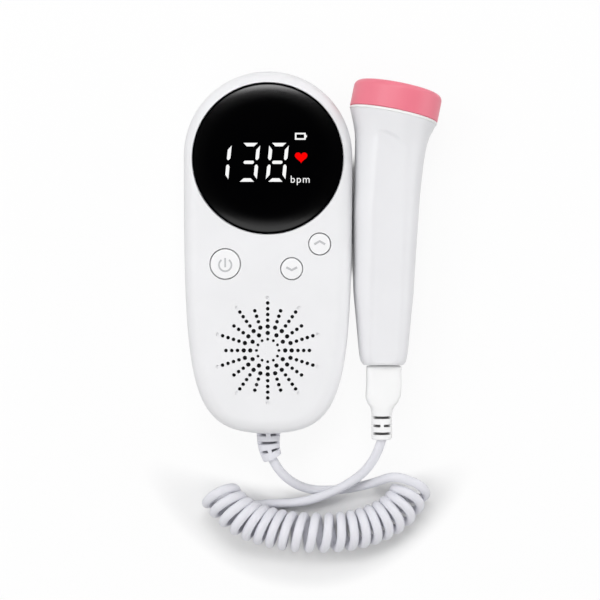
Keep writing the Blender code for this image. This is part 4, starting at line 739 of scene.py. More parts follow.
def combined(mesh: Mesh, steps: Iterable[tuple[Join, Mesh]]) -> Mesh:
    """Return a mesh after exact Booleans.

    Args:
        mesh: the mesh to start from.
        steps: what each Boolean does, and its other mesh.

    Returns:
        The new mesh.
    """
    item = loose("work", mesh)
    tools = []
    for join, other in steps:
        tool = loose("tool", other)
        tools.append(tool)
        modifier = item.modifiers.new("boolean", "BOOLEAN")
        modifier.operation = join.value
        modifier.solver = "EXACT"
        modifier.object = tool
    result = baked(item)
    for tool in tools:
        bpy.data.objects.remove(tool)
    shape = bmesh.new()
    shape.from_mesh(result)
    bmesh.ops.remove_doubles(shape, verts=shape.verts, dist=WELD_GAP)
    shape.to_mesh(result)
    shape.free()
    return result


def cut(mesh: Mesh, *tools: Mesh) -> Mesh:
    """Return a mesh with others cut from it."""
    return combined(mesh, [(Join.CUT, tool) for tool in tools])


def softened(mesh: Mesh, radius: float) -> Mesh:
    """Return a mesh with its sharp edges rounded to a radius.

    Args:
        mesh: the sharp mesh.
        radius: the radius.

    Returns:
        The rounded mesh.
    """
    item = loose("work", mesh)
    bevel = item.modifiers.new("bevel", "BEVEL")
    bevel.width = radius
    bevel.segments = 3
    bevel.limit_method = "ANGLE"
    bevel.angle_limit = BEVEL_ANGLE
    return baked(item)


def shaded(mesh: Mesh) -> Mesh:
    """Return a mesh shaded smooth, with weighted normals and its hard edges kept.

    Args:
        mesh: the mesh.

    Returns:
        The shaded mesh.
    """
    mesh.shade_smooth()
    mesh.set_sharp_from_angle(angle=SHARP_ANGLE)
    item = loose("work", mesh)
    weighted = item.modifiers.new("weighted", "WEIGHTED_NORMAL")
    weighted.keep_sharp = True
    weighted.weight = 80
    return baked(item)


def piece(name: str, mesh: Mesh, material: Material, body: Body,
          slot: Slot, *stands_for: str) -> bpy.types.Object:
    """Make one finished piece that rides on a body.

    Args:
        name: the piece's name.
        mesh: its mesh, in its place.
        material: its material.
        body: the body that it rides on.
        slot: the record's material slot; not used.
        stands_for: the CAD nodes that it replaces.

    Returns:
        The piece.
    """
    mesh = shaded(mesh)
    mesh.name = name
    mesh.materials.clear()
    mesh.materials.append(material)
    item = loose(name, mesh)
    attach(item, body.value)
    if stands_for:
        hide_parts(*stands_for)
    LOG.info("%s: %d faces on %s", name, len(mesh.polygons), body.value)
    return item


def monotone(knots: Sequence[float], values: Sequence[float], places: np.ndarray) -> np.ndarray:
    """Return values on a smooth curve through knots that never overshoots them.

    Args:
        knots: where the values are known, rising.
        values: the known values.
        places: where values are wanted.

    Returns:
        The values there.
    """
    knots = np.asarray(knots, dtype=float)
    values = np.asarray(values, dtype=float)
    steps = np.diff(knots)
    slopes = np.diff(values) / steps
    tangents = np.zeros_like(values)
    tangents[0], tangents[-1] = slopes[0], slopes[-1]
    for index in range(1, len(values) - 1):
        before, after = slopes[index - 1], slopes[index]
        if before * after > 0.0:
            tangents[index] = 2.0 * before * after / (before + after)
    index = np.clip(np.searchsorted(knots, places, side="right") - 1, 0, len(steps) - 1)
    share = (places - knots[index]) / steps[index]
    rest = 1.0 - share
    return (values[index] * (1 + 2 * share) * rest ** 2
            + tangents[index] * steps[index] * share * rest ** 2
            + values[index + 1] * share ** 2 * (3 - 2 * share)
            - tangents[index + 1] * steps[index] * share ** 2 * rest)


def section(half_width: float, half_depth: float, squareness: float, angle: float) -> Point2:
    """Return a point of a rounded-square section.

    Args:
        half_width: half its width.
        half_depth: half its depth.
        squareness: 2 for an ellipse, more for a squarer section.
        angle: where round it.

    Returns:
        The point as sideways and height.
    """
    cosine, sine = math.cos(angle), math.sin(angle)
    power = 2.0 / squareness
    return (math.copysign(abs(cosine) ** power, cosine) * half_width,
            math.copysign(abs(sine) ** power, sine) * half_depth)


def eased(share: float) -> float:
    """Return a share from 0 to 1 that starts and ends gently."""
    share = max(0.0, min(1.0, share))
    return share * share * (3 - 2 * share)


def rounding(radius: float, distance: float) -> float:
    """Return how far a rounded edge lies inside its side, at a distance from its end."""
    inside = max(radius - distance, 0.0)
    return radius - math.sqrt(max(radius ** 2 - inside ** 2, 0.0))


# Geometry Nodes: what repeats, and what follows a path

class Generator:
    """A geometry tree with named inputs that ends in Realize Instances and Set Material."""

    def __init__(self, name: str, **inputs: str) -> None:
        """Start the tree.

        Args:
            name: the tree's name.
            inputs: the last word of each input's socket type, with _ for a space in its name.
        """
        self.group = bpy.data.node_groups.new(name, "GeometryNodeTree")
        face = self.group.interface
        face.new_socket(name="Geometry", in_out="INPUT", socket_type="NodeSocketGeometry")
        self.sockets = {key: face.new_socket(name=key.replace("_", " "), in_out="INPUT",
                                             socket_type="NodeSocket" + kind)
                        for key, kind in {**inputs, "Material": "Material"}.items()}
        face.new_socket(name="Geometry", in_out="OUTPUT", socket_type="NodeSocketGeometry")
        self.tree = NodeTree(self.group)
        self.given = self.tree.node("NodeGroupInput").outputs

    def finish(self, geometry: object) -> "Generator":
        """End the tree with Realize Instances and Set Material, and return it.

        Args:
            geometry: the node that makes the shape.

        Returns:
            The same generator.
        """
        real = self.tree.node("GeometryNodeRealizeInstances", {"Geometry": geometry})
        dressed = self.tree.node("GeometryNodeSetMaterial",
                                 {"Geometry": real, "Material": self.given["Material"]})
        self.tree.node("NodeGroupOutput", {0: dressed})
        return self

    def scatter(self, points: object, instance: object) -> "Generator":
        """End the tree with one instance on each point, and return it."""
        return self.finish(self.tree.node("GeometryNodeInstanceOnPoints",
                                          {"Points": points, "Instance": instance}))

    def run(self, mesh: Mesh | None = None, **values: object) -> Mesh:
        """Run the tree.

        Args:
            mesh: the mesh that the tree starts from, or None for an empty one.
            values: the inputs' values, by the names that the tree was started with.

        Returns:
            The plain mesh that comes out.
        """
        item = loose("work", mesh or bpy.data.meshes.new("seed"))
        modifier = item.modifiers.new(self.group.name, "NODES")
        modifier.node_group = self.group
        for key, value in values.items():
            modifier[self.sockets[key].identifier] = value
        return baked(item)


def hole_ring_generator() -> Generator:
    """Return the tree that stands a ring of round pegs about a centre, to cut holes."""
    maker = Generator("hole_ring", Ring_radius="Float", Holes="Int", Hole_radius="Float",
                      Depth="Float", Centre="Vector")
    tree, given = maker.tree, maker.given
    ring = tree.node("GeometryNodeMeshCircle", {
        "Vertices": given["Holes"], "Radius": given["Ring radius"]}, fill_type="NONE")
    turned_ring = tree.node("GeometryNodeTransform", {
        "Geometry": ring, "Rotation": (0.0, 0.0, math.pi / 2), "Translation": given["Centre"]})
    peg = tree.node("GeometryNodeMeshCylinder", {
        "Vertices": 20, "Radius": given["Hole radius"], "Depth": given["Depth"]})
    return maker.scatter(turned_ring, peg)


def bar_row_generator() -> Generator:
    """Return the tree that lays a row of bars, to cut grip grooves."""
    maker = Generator("bar_row", Bars="Int", Pitch="Vector", Bar_size="Vector", First="Vector")
    tree, given = maker.tree, maker.given
    line = tree.node("GeometryNodeMeshLine", {
        "Count": given["Bars"], "Start Location": given["First"], "Offset": given["Pitch"]})
    bar = tree.node("GeometryNodeMeshCube", {"Size": given["Bar size"]})
    return maker.scatter(line, bar)


def sweep_generator() -> Generator:
    """Return the tree that sweeps a round skin along the line of points it is given."""
    maker = Generator("cord_sweep", Radius="Float", Sides="Int")
    tree, given = maker.tree, maker.given
    line = tree.node("GeometryNodeMeshToCurve", {"Mesh": given["Geometry"]})
    circle = tree.node("GeometryNodeCurvePrimitiveCircle", {
        "Resolution": given["Sides"], "Radius": given["Radius"]})
    return maker.finish(tree.node("GeometryNodeCurveToMesh", {
        "Curve": line, "Profile Curve": circle, "Fill Caps": True}))


def screw_generator() -> Generator:
    """Return the tree that puts a cross-recessed screw head on each point."""
    maker = Generator("cross_screws", Head_radius="Float", Head_height="Float",
                      Shank_radius="Float", Shank_length="Float", Slot_size="Vector")
    tree, given = maker.tree, maker.given
    head = tree.node("GeometryNodeMeshCylinder", {
        "Vertices": 48, "Radius": given["Head radius"], "Depth": given["Head height"]})
    half = Signal(tree, given["Head height"]) * 0.5
    low = tree.node("ShaderNodeCombineXYZ", {"Z": half * -1.0})
    recess = tree.node("GeometryNodeMeshBoolean", {"Mesh 1": head}, operation="DIFFERENCE")
    for turn in (0.0, math.pi / 2):
        bar = tree.node("GeometryNodeMeshCube", {"Size": given["Slot size"]})
        slot = tree.node("GeometryNodeTransform", {
            "Geometry": bar, "Translation": low, "Rotation": (0.0, 0.0, turn)})
        tree.feed(recess.inputs["Mesh 2"], slot)
    shank = tree.node("GeometryNodeMeshCylinder", {
        "Vertices": 32, "Radius": given["Shank radius"], "Depth": given["Shank length"]})
    reach = Signal(tree, given["Shank length"]) * 0.5 + half
    lifted = tree.node("GeometryNodeTransform", {
        "Geometry": shank, "Translation": tree.node("ShaderNodeCombineXYZ", {"Z": reach})})
    screw = tree.node("GeometryNodeJoinGeometry")
    for part in (recess, lifted):
        tree.feed(screw.inputs[0], part)
    return maker.scatter(given["Geometry"], screw)


# Camera, table and light

@dataclass
class Studio:
    """The camera above the table, the white sweep and the soft boxes."""

    camera_place: Point3 = (0.01292, -0.0192, 0.638)
    frame_width: float = 0.240
    frame_distance: float = 0.608
    sensor: float = 36.0
    clips: Point2 = (0.01, 50.0)
    floor_half: float = 3.0
    floor_bottom: float = -0.0101
    lamp_aim: Point3 = (0.01, -0.01, 0.0)
    lamps: tuple[tuple[str, Point3, Point2, float], ...] = (
        ("key_box", (-0.75, 0.20, 1.10), (0.5, 0.6), 3.8),
        ("far_box", (0.0, 0.575, 1.10), (0.6, 0.30), 9.0),
        ("near_box", (0.0, -0.34, 1.10), (0.7, 0.50), 1.4))
    world_level: float = 0.76
    dark_cap: Point2 = (0.78, 0.90)
    right_side: Point2 = (-0.15, 0.70)
    right_low: Point2 = (0.30, 0.50)
    right_gain: float = 1.90
    right_loss: float = 0.95

    def set_camera(self) -> None:
        """Put the camera straight above the table."""
        camera = bpy.data.cameras.new("camera")
        camera.sensor_width = self.sensor
        camera.lens = self.sensor * self.frame_distance / self.frame_width
        camera.clip_start, camera.clip_end = self.clips
        item = loose("camera", camera)
        item.location = self.camera_place
        bpy.context.scene.camera = item

    def set_floor(self) -> None:
        """Lay the white sweep."""
        half = self.floor_half
        mesh = plates([rectangle((-half, -half), (half, half))], self.floor_bottom, -HAIR)
        mesh.materials.append(StudioFloor().material())
        loose("white_floor", mesh)

    def soft_box(self, name: str, place: Sequence[float], size: Point2, level: float) -> None:
        """Hang one soft box that faces the object.

        Args:
            name: its name.
            place: where it hangs.
            size: its width and height.
            level: its brightness, where 1 is a white surface in plain light.
        """
        lamp = bpy.data.lights.new(name, "AREA")
        lamp.shape = "RECTANGLE"
        lamp.size, lamp.size_y = size
        lamp.energy = level * math.pi * size[0] * size[1]
        item = loose(name, lamp)
        item.location = place
        aim = Vector(self.lamp_aim) - Vector(place)
        item.rotation_euler = aim.to_track_quat("-Z", "Y").to_euler()

    def set_light(self) -> None:
        """Light the table softly from the upper left, with white only behind the object."""
        for lamp in self.lamps:
            self.soft_box(*lamp)
        world = bpy.data.worlds.new("studio")
        world.use_nodes = True
        bpy.context.scene.world = world
        tree = NodeTree(world.node_tree)
        tree.tree.nodes.clear()
        rays = tree.node("ShaderNodeLightPath")
        way = tree.node("ShaderNodeTexCoord").outputs["Generated"]
        right, _, up = tree.split(way)
        level = (1.0 - up.ramp(*self.dark_cap)) * self.world_level
        side = right.ramp(*self.right_side)
        high = up.ramp(*self.right_low)
        level = level * (side * (self.right_gain - high * (self.right_gain + self.right_loss)) + 1.0)
        room, white = (tree.node("ShaderNodeBackground",
                                 {"Color": (1.0, 1.0, 1.0, 1.0), "Strength": strength})
                       for strength in (level, 1.0))
        mix = tree.node("ShaderNodeMixShader", {0: rays.outputs["Is Camera Ray"], 1: room, 2: white})
        tree.node("ShaderNodeOutputWorld", {"Surface": mix})

    def build(self) -> None:
        """Set the camera, the floor and the light."""
        self.set_camera()
        self.set_floor()
        self.set_light()
        bpy.context.scene.view_settings.view_transform = "Standard"
        LOG.info("studio: camera, floor and soft boxes")


# The free cord

@dataclass
class CurlyCord:
    """The cord from the display unit to the plug, with its curly stretch."""

    diameter: float = 0.0038
    length: float = 0.97
    floor_gap: float = 0.0001
    joint_gap: float = 0.0003
    relief_end: Vector = field(default_factory=lambda: Vector((0.00185, -0.08498, 0.01449)))
    relief_way: Vector = field(default_factory=lambda: Vector((0.377, -0.920, -0.104)))
    plug_end: Vector = field(default_factory=lambda: Vector((0.046206, -0.0763, 0.0184)))
    plug_way: Vector = field(default_factory=lambda: Vector((-0.26, -1.0, -0.05)).normalized())
    relief_sink: float = 0.0027
    plug_sink: float = 0.0018
    axis_route: tuple[Point2, ...] = (
        (-0.0210, -0.0980), (-0.0142, -0.1058), (-0.0045, -0.1116),
        (0.0080, -0.1148), (0.0220, -0.1156), (0.0360, -0.1142),
        (0.0476, -0.1100), (0.0560, -0.1030), (0.0602, -0.0935))
    monitor_route: tuple[Point3, ...] = (
        (0.0072, -0.0925, 0.0110), (0.0113, -0.0957, 0.0073), (0.0158, -0.0979, 0.0043),
        (0.0213, -0.0988, 0.0025), (0.0276, -0.0987, 0.0021), (0.0336, -0.0980, 0.0026),
        (0.0402, -0.0962, 0.0052), (0.0468, -0.0936, 0.0096))
    probe_route: tuple[Point3, ...] = (
        (0.0384, -0.0908, 0.0125),
        (0.0344, -0.0942, 0.0100), (0.0299, -0.0970, 0.0081), (0.0250, -0.0994, 0.0073),
        (0.0196, -0.1016, 0.0062), (0.0129, -0.1035, 0.0039), (0.0062, -0.1041, 0.0022),
        (0.0008, -0.1044, 0.0020), (-0.0040, -0.1046, 0.0020))
    curl_radius: float = 0.00645
    curl_gap: float = 0.00003
    curl_stretch: float = 0.0013
    stretch_centre: float = 0.50
    stretch_width: float = 0.13
    bend_share: float = 0.35
    trims: Point2 = (0.0002, 0.0034)
    lean: float = 0.28
    lean_end: float = 0.16
    lean_width: float = 0.18
    crowd_share: float = 0.60
    lift: float = 0.0043
    lift_end: float = 0.0300
    lift_fade: float = 0.0180
    settle_angle: float = math.radians(110.0)
    tail_radius: float = 0.0046
    tail_steps: int = 10
    bend_window: float = 0.0375
    samples: int = 1200
    turn_points: int = 36
    lead_step: float = 0.0006
    smoothings: int = 60
    sides: int = 20

    def smooth_route(self, points: Sequence[Sequence[float]], samples: int) -> np.ndarray:
        """Return evenly spaced points on a natural cubic spline.

        Args:
            points: the route's points.
            samples: how many points are wanted.

        Returns:
            The points, one a row.
        """
        route = np.array([tuple(point) for point in points], dtype=float)
        steps = np.linalg.norm(np.diff(route, axis=0), axis=1)
        knots = np.concatenate([[0.0], np.cumsum(steps)])
        last = len(route) - 1
        system = np.eye(last + 1)
        target = np.zeros_like(route)
        for index in range(1, last):
            before, after = steps[index - 1], steps[index]
            system[index, index - 1:index + 2] = (before, 2 * (before + after), after)
            target[index] = 6 * ((route[index + 1] - route[index]) / after
                                 - (route[index] - route[index - 1]) / before)
        bend = np.linalg.solve(system, target)
        places = np.linspace(0.0, knots[-1], samples)
        index = np.clip(np.searchsorted(knots, places, side="right") - 1, 0, last - 1)
        step = steps[index][:, None]
        near = (knots[index + 1] - places)[:, None] / step
        far = (places - knots[index])[:, None] / step
        curve = (near ** 3 - near) * bend[index] + (far ** 3 - far) * bend[index + 1]
        return near * route[index] + far * route[index + 1] + curve * step ** 2 / 6

    def curls(self) -> list[Vector]:
        """Return the fine points of the curly stretch, from the probe's lead on."""
        route = self.smooth_route(self.axis_route, self.samples)
        steps = np.linalg.norm(np.diff(route, axis=0), axis=1)
        along = np.concatenate([[0.0], np.cumsum(steps)])
        kept = (along >= self.trims[0]) & (along <= along[-1] - self.trims[1])
        route, along = route[kept], along[kept] - along[kept][0]
        way = np.gradient(route, along, axis=0)
        way /= np.linalg.norm(way, axis=1)[:, None]
        heading = np.unwrap(np.arctan2(way[:, 1], way[:, 0]))
        bend = np.clip(np.gradient(heading, along), 0.0, None)
        window = int(self.samples * self.bend_window)
        bend = np.convolve(np.pad(bend, window, mode="edge"),
                           np.ones(2 * window + 1) / (2 * window + 1), mode="valid")
        middle, width = self.stretch_centre * along[-1], self.stretch_width * along[-1]
        share = (along - middle) / along[-1]
        lean = self.lean * np.tanh(share / self.lean_width) + self.lean_end * (2 * share) ** 3
        crowding = self.curl_radius * np.gradient(lean, along) * self.crowd_share
        pitch = (self.diameter + self.curl_gap) * np.hypot(1.0, lean)
        pitch /= (1 - self.bend_share * self.curl_radius * bend) * (1 - crowding)
        pitch += self.curl_stretch * np.exp(-((along - middle) / width) ** 2)
        rate = math.tau / pitch
        turn = np.concatenate([[0.0], np.cumsum((rate[1:] + rate[:-1]) / 2 * np.diff(along))])
        turns = math.floor(turn[-1] / math.tau - 0.5) + 0.5
        turn *= turns * math.tau / turn[-1]
        floor = self.floor_gap + self.diameter / 2

        def beside(place: float, sideways: float, height: float) -> Vector:
            """Return the point beside the axis at a place along it.

            Args:
                place: the place.
                sideways: how far beside it.
                height: the height.

            Returns:
                The point.
            """
            x, y = (np.interp(place, along, route[:, column]) for column in (0, 1))
            tx, ty = (np.interp(place, along, way[:, column]) for column in (0, 1))
            over = place - min(max(place, 0.0), along[-1])
            return Vector((x - ty * sideways + tx * over, y + tx * sideways + ty * over, height))

        first = -self.curl_radius * lean[0]
        tail = []
        for step in range(self.tail_steps, 0, -1):
            angle = math.pi / 2 * step / self.tail_steps
            tail.append(beside(first + self.tail_radius * (1 - math.cos(angle)),
                               self.tail_radius * math.sin(angle), floor))
        outwards = (tail[0] - tail[1]).normalized()
        points = [tail[0] + outwards * self.diameter] + tail
        for angle in np.linspace(0.0, turn[-1], int(turns * self.turn_points) + 1):
            place = np.interp(angle, turn, along)
            lift = self.lift * eased((self.lift_end - place) / self.lift_fade)
            lift *= eased(angle / self.settle_angle)
            place -= self.curl_radius * np.interp(place, along, lean) * math.cos(angle)
            points.append(beside(place, -self.curl_radius * math.sin(angle),
                                 floor + lift + self.curl_radius * (1 - math.cos(angle))))
        last = Vector((-way[-1, 1], way[-1, 0], 0.0)).normalized()
        points.append(points[-1] + last * self.diameter)
        LOG.info("curly stretch: %.1f turns", turns)
        return points

    def lead(self, start: Vector, towards: Vector, route: Sequence[Sequence[float]],
             end: Vector, arriving: Vector) -> list[Vector]:
        """Return the fine points of a free lead between two straight ends.

        Args:
            start: where it starts.
            towards: the way that it leaves.
            route: the points that it passes.
            end: where it ends.
            arriving: the way that it arrives.

        Returns:
            The points.
        """
        nodes = [start, start + towards.normalized() * self.diameter]
        nodes += [Vector(point) for point in route]
        nodes += [end - arriving.normalized() * self.diameter, end]
        length = sum((b - a).length for a, b in zip(nodes, nodes[1:]))
        lowest = self.floor_gap + self.diameter / 2
        line = self.smooth_route(nodes, int(length / self.lead_step) + 1)
        for _ in range(self.smoothings):
            line[2:-2] = (line[1:-3] + 2 * line[2:-2] + line[3:-1]) / 4
        return [Vector((x, y, max(z, lowest))) for x, y, z in line]

    def path(self) -> list[Vector]:
        """Return the whole cord's points, from the display unit to the plug."""
        curls = self.curls()
        top = (curls[-2] - curls[-1]).normalized()
        low = (curls[1] - curls[0]).normalized()
        first = self.lead(self.relief_end - self.relief_way * self.relief_sink, self.relief_way,
                          self.monitor_route, curls[-1] - top * self.joint_gap, top)
        second = self.lead(self.plug_end - self.plug_way * self.plug_sink, self.plug_way,
                           self.probe_route, curls[0] - low * self.joint_gap, low)
        return first + curls[::-1] + second[::-1]

    def build(self, material: Material) -> tuple[bpy.types.Object, list[Vector]]:
        """Sweep the cord's skin along its path.

        Args:
            material: the cord's finish.

        Returns:
            The piece and its path.
        """
        path = self.path()
        measured = sum((b - a).length for a, b in zip(path, path[1:]))
        LOG.info("cord: %.3f m along its middle line", measured)
        line = bpy.data.meshes.new("cord_line")
        line.from_pydata(path, [(index, index + 1) for index in range(len(path) - 1)], [])
        mesh = sweep_generator().run(line, Radius=self.diameter / 2, Sides=self.sides,
                                     Material=material)
        item = piece("curly_cord_skin", mesh, material, Body.UNIT, Slot.CORD,
                     "cord_lead_monitor", "curly_cord", "cord_lead_probe")
        return item, path


# The display unit

@dataclass
class Housing:
    """Front and rear shells and the battery door of the display unit."""

    length: float = 0.1461
    width: float = 0.0680
    depth: float = 0.0300
    wall: float = 0.0022
    side_reach: float = 0.8475
    foot_reach: float = 0.9412
    parting: float = 0.0140
    front_radius: float = 0.0060
    back_radius: float = 0.0065
    seam_edge: float = 0.00025
    lens_y: float = 0.0375
    lens_pocket_radius: float = 0.0305
    lens_pocket_depth: float = 0.0014
    window_radius: float = 0.0250
    grille_y: float = -0.0394
    grille_radius: float = 0.0190
    ring_shares: tuple[float, ...] = (0.237, 0.368, 0.505, 0.637, 0.758, 0.879, 1.000)
    ring_holes: tuple[int, ...] = (12, 12, 20, 20, 20, 20, 10)
    ring_diameters: tuple[float, ...] = (0.0012, 0.0018, 0.0018, 0.0015, 0.0015, 0.0015, 0.0015)
    lip: float = 0.00015
    dimple_radius: float = 0.0211
    dimple_count: int = 10
    dimple_diameter: float = 0.0014
    dimple_depth: float = 0.00060
    door_edge_y: float = -0.0080
    door_rim: float = 0.0080
    door_wall: float = 0.0018
    door_recess: float = 0.0001
    deck: float = 0.0012
    well_corners: tuple[Point2, Point2] = ((-0.0167, -0.0654), (0.0167, -0.0076))
    well_top: float = 0.0182
    well_wall: float = 0.0014
    grip_y: float = -0.0150
    grip_bars: int = 5
    grip_pitch: float = 0.0018
    grip_size: Point3 = (0.0200, 0.0008, 0.0010)
    screw_seat: float = 0.0070
    screw_hole_radius: float = 0.0028
    screw_pilot_radius: float = 0.0015
    screw_bevel: float = 0.0002
    boss_radius: float = 0.0043
    screws: tuple[Point2, ...] = ((-0.0200, 0.0585), (0.0200, 0.0585))
    lower_screws: tuple[Point2, ...] = ((-0.0245, -0.0300), (0.0245, -0.0300))
    screw_heads: Point2 = (0.0059, 0.0069)
    screw_ends: Point2 = (0.0168, 0.0159)
    head_radius: float = 0.0025
    head_height: float = 0.0016
    shank_radius: float = 0.0012
    slot_size: Point3 = (0.0028, 0.0006, 0.0016)
    relief_height: float = 0.0150
    relief_bore: float = 0.0044
    relief_reach: float = 0.0034
    round_steps: int = 12

    def outline(self, inset: float = 0.0) -> list[Vector]:
        """Return the fine outline seen from the front, moved inwards.

        Args:
            inset: how far it is moved.

        Returns:
            Its points.
        """
        radius = self.width / 2
        shoulder_y, foot_y = self.length / 2 - radius, -self.length / 2
        points = [Vector((radius * math.cos(math.pi * step / 96),
                          shoulder_y + radius * math.sin(math.pi * step / 96)))
                  for step in range(96)]
        reach = self.side_reach * (shoulder_y - foot_y)
        ends = ((radius, shoulder_y), (radius, shoulder_y - reach),
                (self.foot_reach * radius, foot_y), (0.0, foot_y))
        side = [point.to_2d() for point in interpolate_bezier(*map(Vector, ends), 73)]
        points += [Vector((-point.x, point.y)) for point in side]
        points += side[-2:0:-1]
        moved = []
        for index, point in enumerate(points):
            along = points[(index + 1) % len(points)] - points[index - 1]
            moved.append(point + Vector((-along.y, along.x)).normalized() * inset)
        return moved

    def ring(self, inset: float, height: float) -> Ring:
        """Return the outline as a ring at a height."""
        return [Vector((point.x, point.y, height)) for point in self.outline(inset)]

    def solid(self, rim: float, floor: float, radius: float, inset: float = 0.0,
              edge: float = 0.0) -> Mesh:
        """Return a filled dish: one side of a shell, from its rim to its floor.

        Args:
            rim: the height of its rim.
            floor: the height of its flat floor.
            radius: the radius between its side and its floor.
            inset: how far its side lies inside the outline.
            edge: a small chamfer at the rim.

        Returns:
            The mesh.
        """
        towards = 1.0 if floor > rim else -1.0
        rings = []
        if edge:
            rings.append(self.ring(inset + edge, rim))
        rings.append(self.ring(inset, rim + towards * edge))
        for step in range(self.round_steps + 1):
            angle = math.pi / 2 * step / self.round_steps
            rings.append(self.ring(inset + radius * (1 - math.cos(angle)),
                                   floor - towards * radius * (1 - math.sin(angle))))
        rings.append(self.ring(inset + radius + 4 * self.seam_edge, floor))
        return loft(rings)

    def face_hole(self, x: float, y: float, radius: float, floor: float, steps: int) -> Mesh:
        """Return the cutter of a round hole in the face, with a small chamfer at its lip."""
        lip, above = self.lip, self.depth + MM
        return turned([(0.0, floor), (radius, floor), (radius, self.depth - lip),
                       (radius + lip, self.depth), (radius + lip, above), (0.0, above)],
                      steps, at(x, y))

    def relief_hole(self) -> Mesh:
        """Return the cutter for the hole of the strain relief."""
        return cylinder(self.relief_bore, -self.relief_reach, self.relief_reach, 64,
                        at(0.0, -self.length / 2, self.relief_height)
                        @ Matrix.Rotation(math.pi / 2, 4, "X"))

    def front(self, material: Material, buttons: Sequence["Button"]) -> None:
        """Build the front shell with its lens pocket, key holes and grille.

        Args:
            material: its finish.
            buttons: the keys that stand in it.
        """
        bottom = self.parting + FIT_GAP
        under = self.depth - self.wall
        shell = self.solid(bottom, self.depth, self.front_radius, edge=self.seam_edge)
        cuts = [self.solid(bottom - MM, under, self.front_radius - self.wall, self.wall),
                self.face_hole(0.0, self.lens_y, self.lens_pocket_radius,
                               self.depth - self.lens_pocket_depth, 160),
                cylinder(self.window_radius, under - MM, self.depth + MM, 96,
                         at(0.0, self.lens_y))]
        cuts += [self.face_hole(button.x, button.y, button.hole_radius, under - MM, 96)
                 for button in buttons]
        rows = [(self.grille_radius * share, count, size, self.wall + 2 * MM,
                 (under + self.depth) / 2)
                for share, count, size in zip(self.ring_shares, self.ring_holes,
                                              self.ring_diameters)]
        rows.append((self.dimple_radius, self.dimple_count, self.dimple_diameter,
                     2 * self.dimple_depth, self.depth))
        rings = hole_ring_generator()
        cuts += [rings.run(Ring_radius=radius, Holes=count, Hole_radius=size / 2, Depth=deep,
                           Centre=(0.0, self.grille_y, height), Material=material)
                 for radius, count, size, deep, height in rows]
        piece("front_shell", cut(shell, *cuts, self.relief_hole()), material, Body.UNIT,
              Slot.HOUSING, "front_housing")

    def rear(self, material: Material) -> None:
        """Build the rear shell with its deck, battery well and screw holes.

        Args:
            material: its finish.
        """
        shell = self.solid(self.parting, 0.0, self.back_radius, edge=self.seam_edge)
        inside = self.solid(self.parting + MM, self.wall, self.back_radius - self.wall, self.wall)
        half = self.width / 2 + MM
        corner = (-half, -self.length / 2 - MM, -MM)
        deck = box(corner, (half, self.door_edge_y + self.wall, self.door_rim + self.deck))
        (left, low), (right, high) = self.well_corners
        wall, top = self.well_wall, self.well_top
        steps = [(Join.CUT, cut(inside, deck)),
                 (Join.CUT, box(corner, (half, self.door_edge_y, self.door_rim))),
                 (Join.ADD, box((left, low, self.door_rim), (right, high, top))),
                 (Join.CUT, box((left + wall, low + wall, self.door_rim - MM),
                                (right - wall, high - wall, top - wall)))]
        hole, seat, bevel = self.screw_hole_radius, self.screw_seat, self.screw_bevel
        bore = [(0.0, -MM), (hole + bevel, -MM), (hole + bevel, 0.0), (hole, bevel),
                (hole, seat), (self.screw_pilot_radius, seat),
                (self.screw_pilot_radius, self.parting + MM), (0.0, self.parting + MM)]
        for x, y in self.screws:
            boss = cylinder(self.boss_radius, self.wall - MM, self.parting - MM, 48, at(x, y))
            steps += [(Join.ADD, boss), (Join.CUT, turned(bore, 48, at(x, y)))]
        steps.append((Join.CUT, self.relief_hole()))
        piece("rear_shell", combined(shell, steps), material, Body.UNIT, Slot.HOUSING, "rear_housing")

    def door(self, material: Material) -> None:
        """Build the battery door with its row of grip grooves.

        Args:
            material: its finish.
        """
        top = self.door_rim - FIT_GAP
        door = self.solid(top, self.door_recess, self.back_radius)
        inside = self.solid(top + MM, self.door_recess + self.door_wall,
                            self.back_radius - self.door_wall, self.door_wall)
        half = self.width / 2 + MM
        above = box((-half, self.door_edge_y - FIT_GAP, -MM), (half, self.length, top + MM))
        bars = bar_row_generator().run(
            Bars=self.grip_bars, Pitch=(0.0, -self.grip_pitch, 0.0), Bar_size=self.grip_size,
            First=(0.0, self.grip_y + self.grip_size[1] / 2, self.door_recess),
            Material=material)
        piece("battery_cover_plate", cut(door, inside, above, bars), material, Body.COVER,
              Slot.HOUSING, "battery_door")

    def fasteners(self, material: Material) -> None:
        """Put the two upper and two lower cross-recessed screws in.

        Args:
            material: their finish.
        """
        for row, places, head, end in zip(("upper", "lower"), (self.screws, self.lower_screws),
                                          self.screw_heads, self.screw_ends):
            seed = bpy.data.meshes.new("seed")
            seed.from_pydata([(x, y, head) for x, y in places], [], [])
            mesh = screw_generator().run(
                seed, Head_radius=self.head_radius, Head_height=self.head_height,
                Shank_radius=self.shank_radius, Shank_length=end - self.head_height,
                Slot_size=self.slot_size, Material=material)
            piece(row + "_screws", mesh, material, Body.UNIT, Slot.STEEL,
                  *(f"housing_screw_{row}_{side}" for side in ("left", "right")))


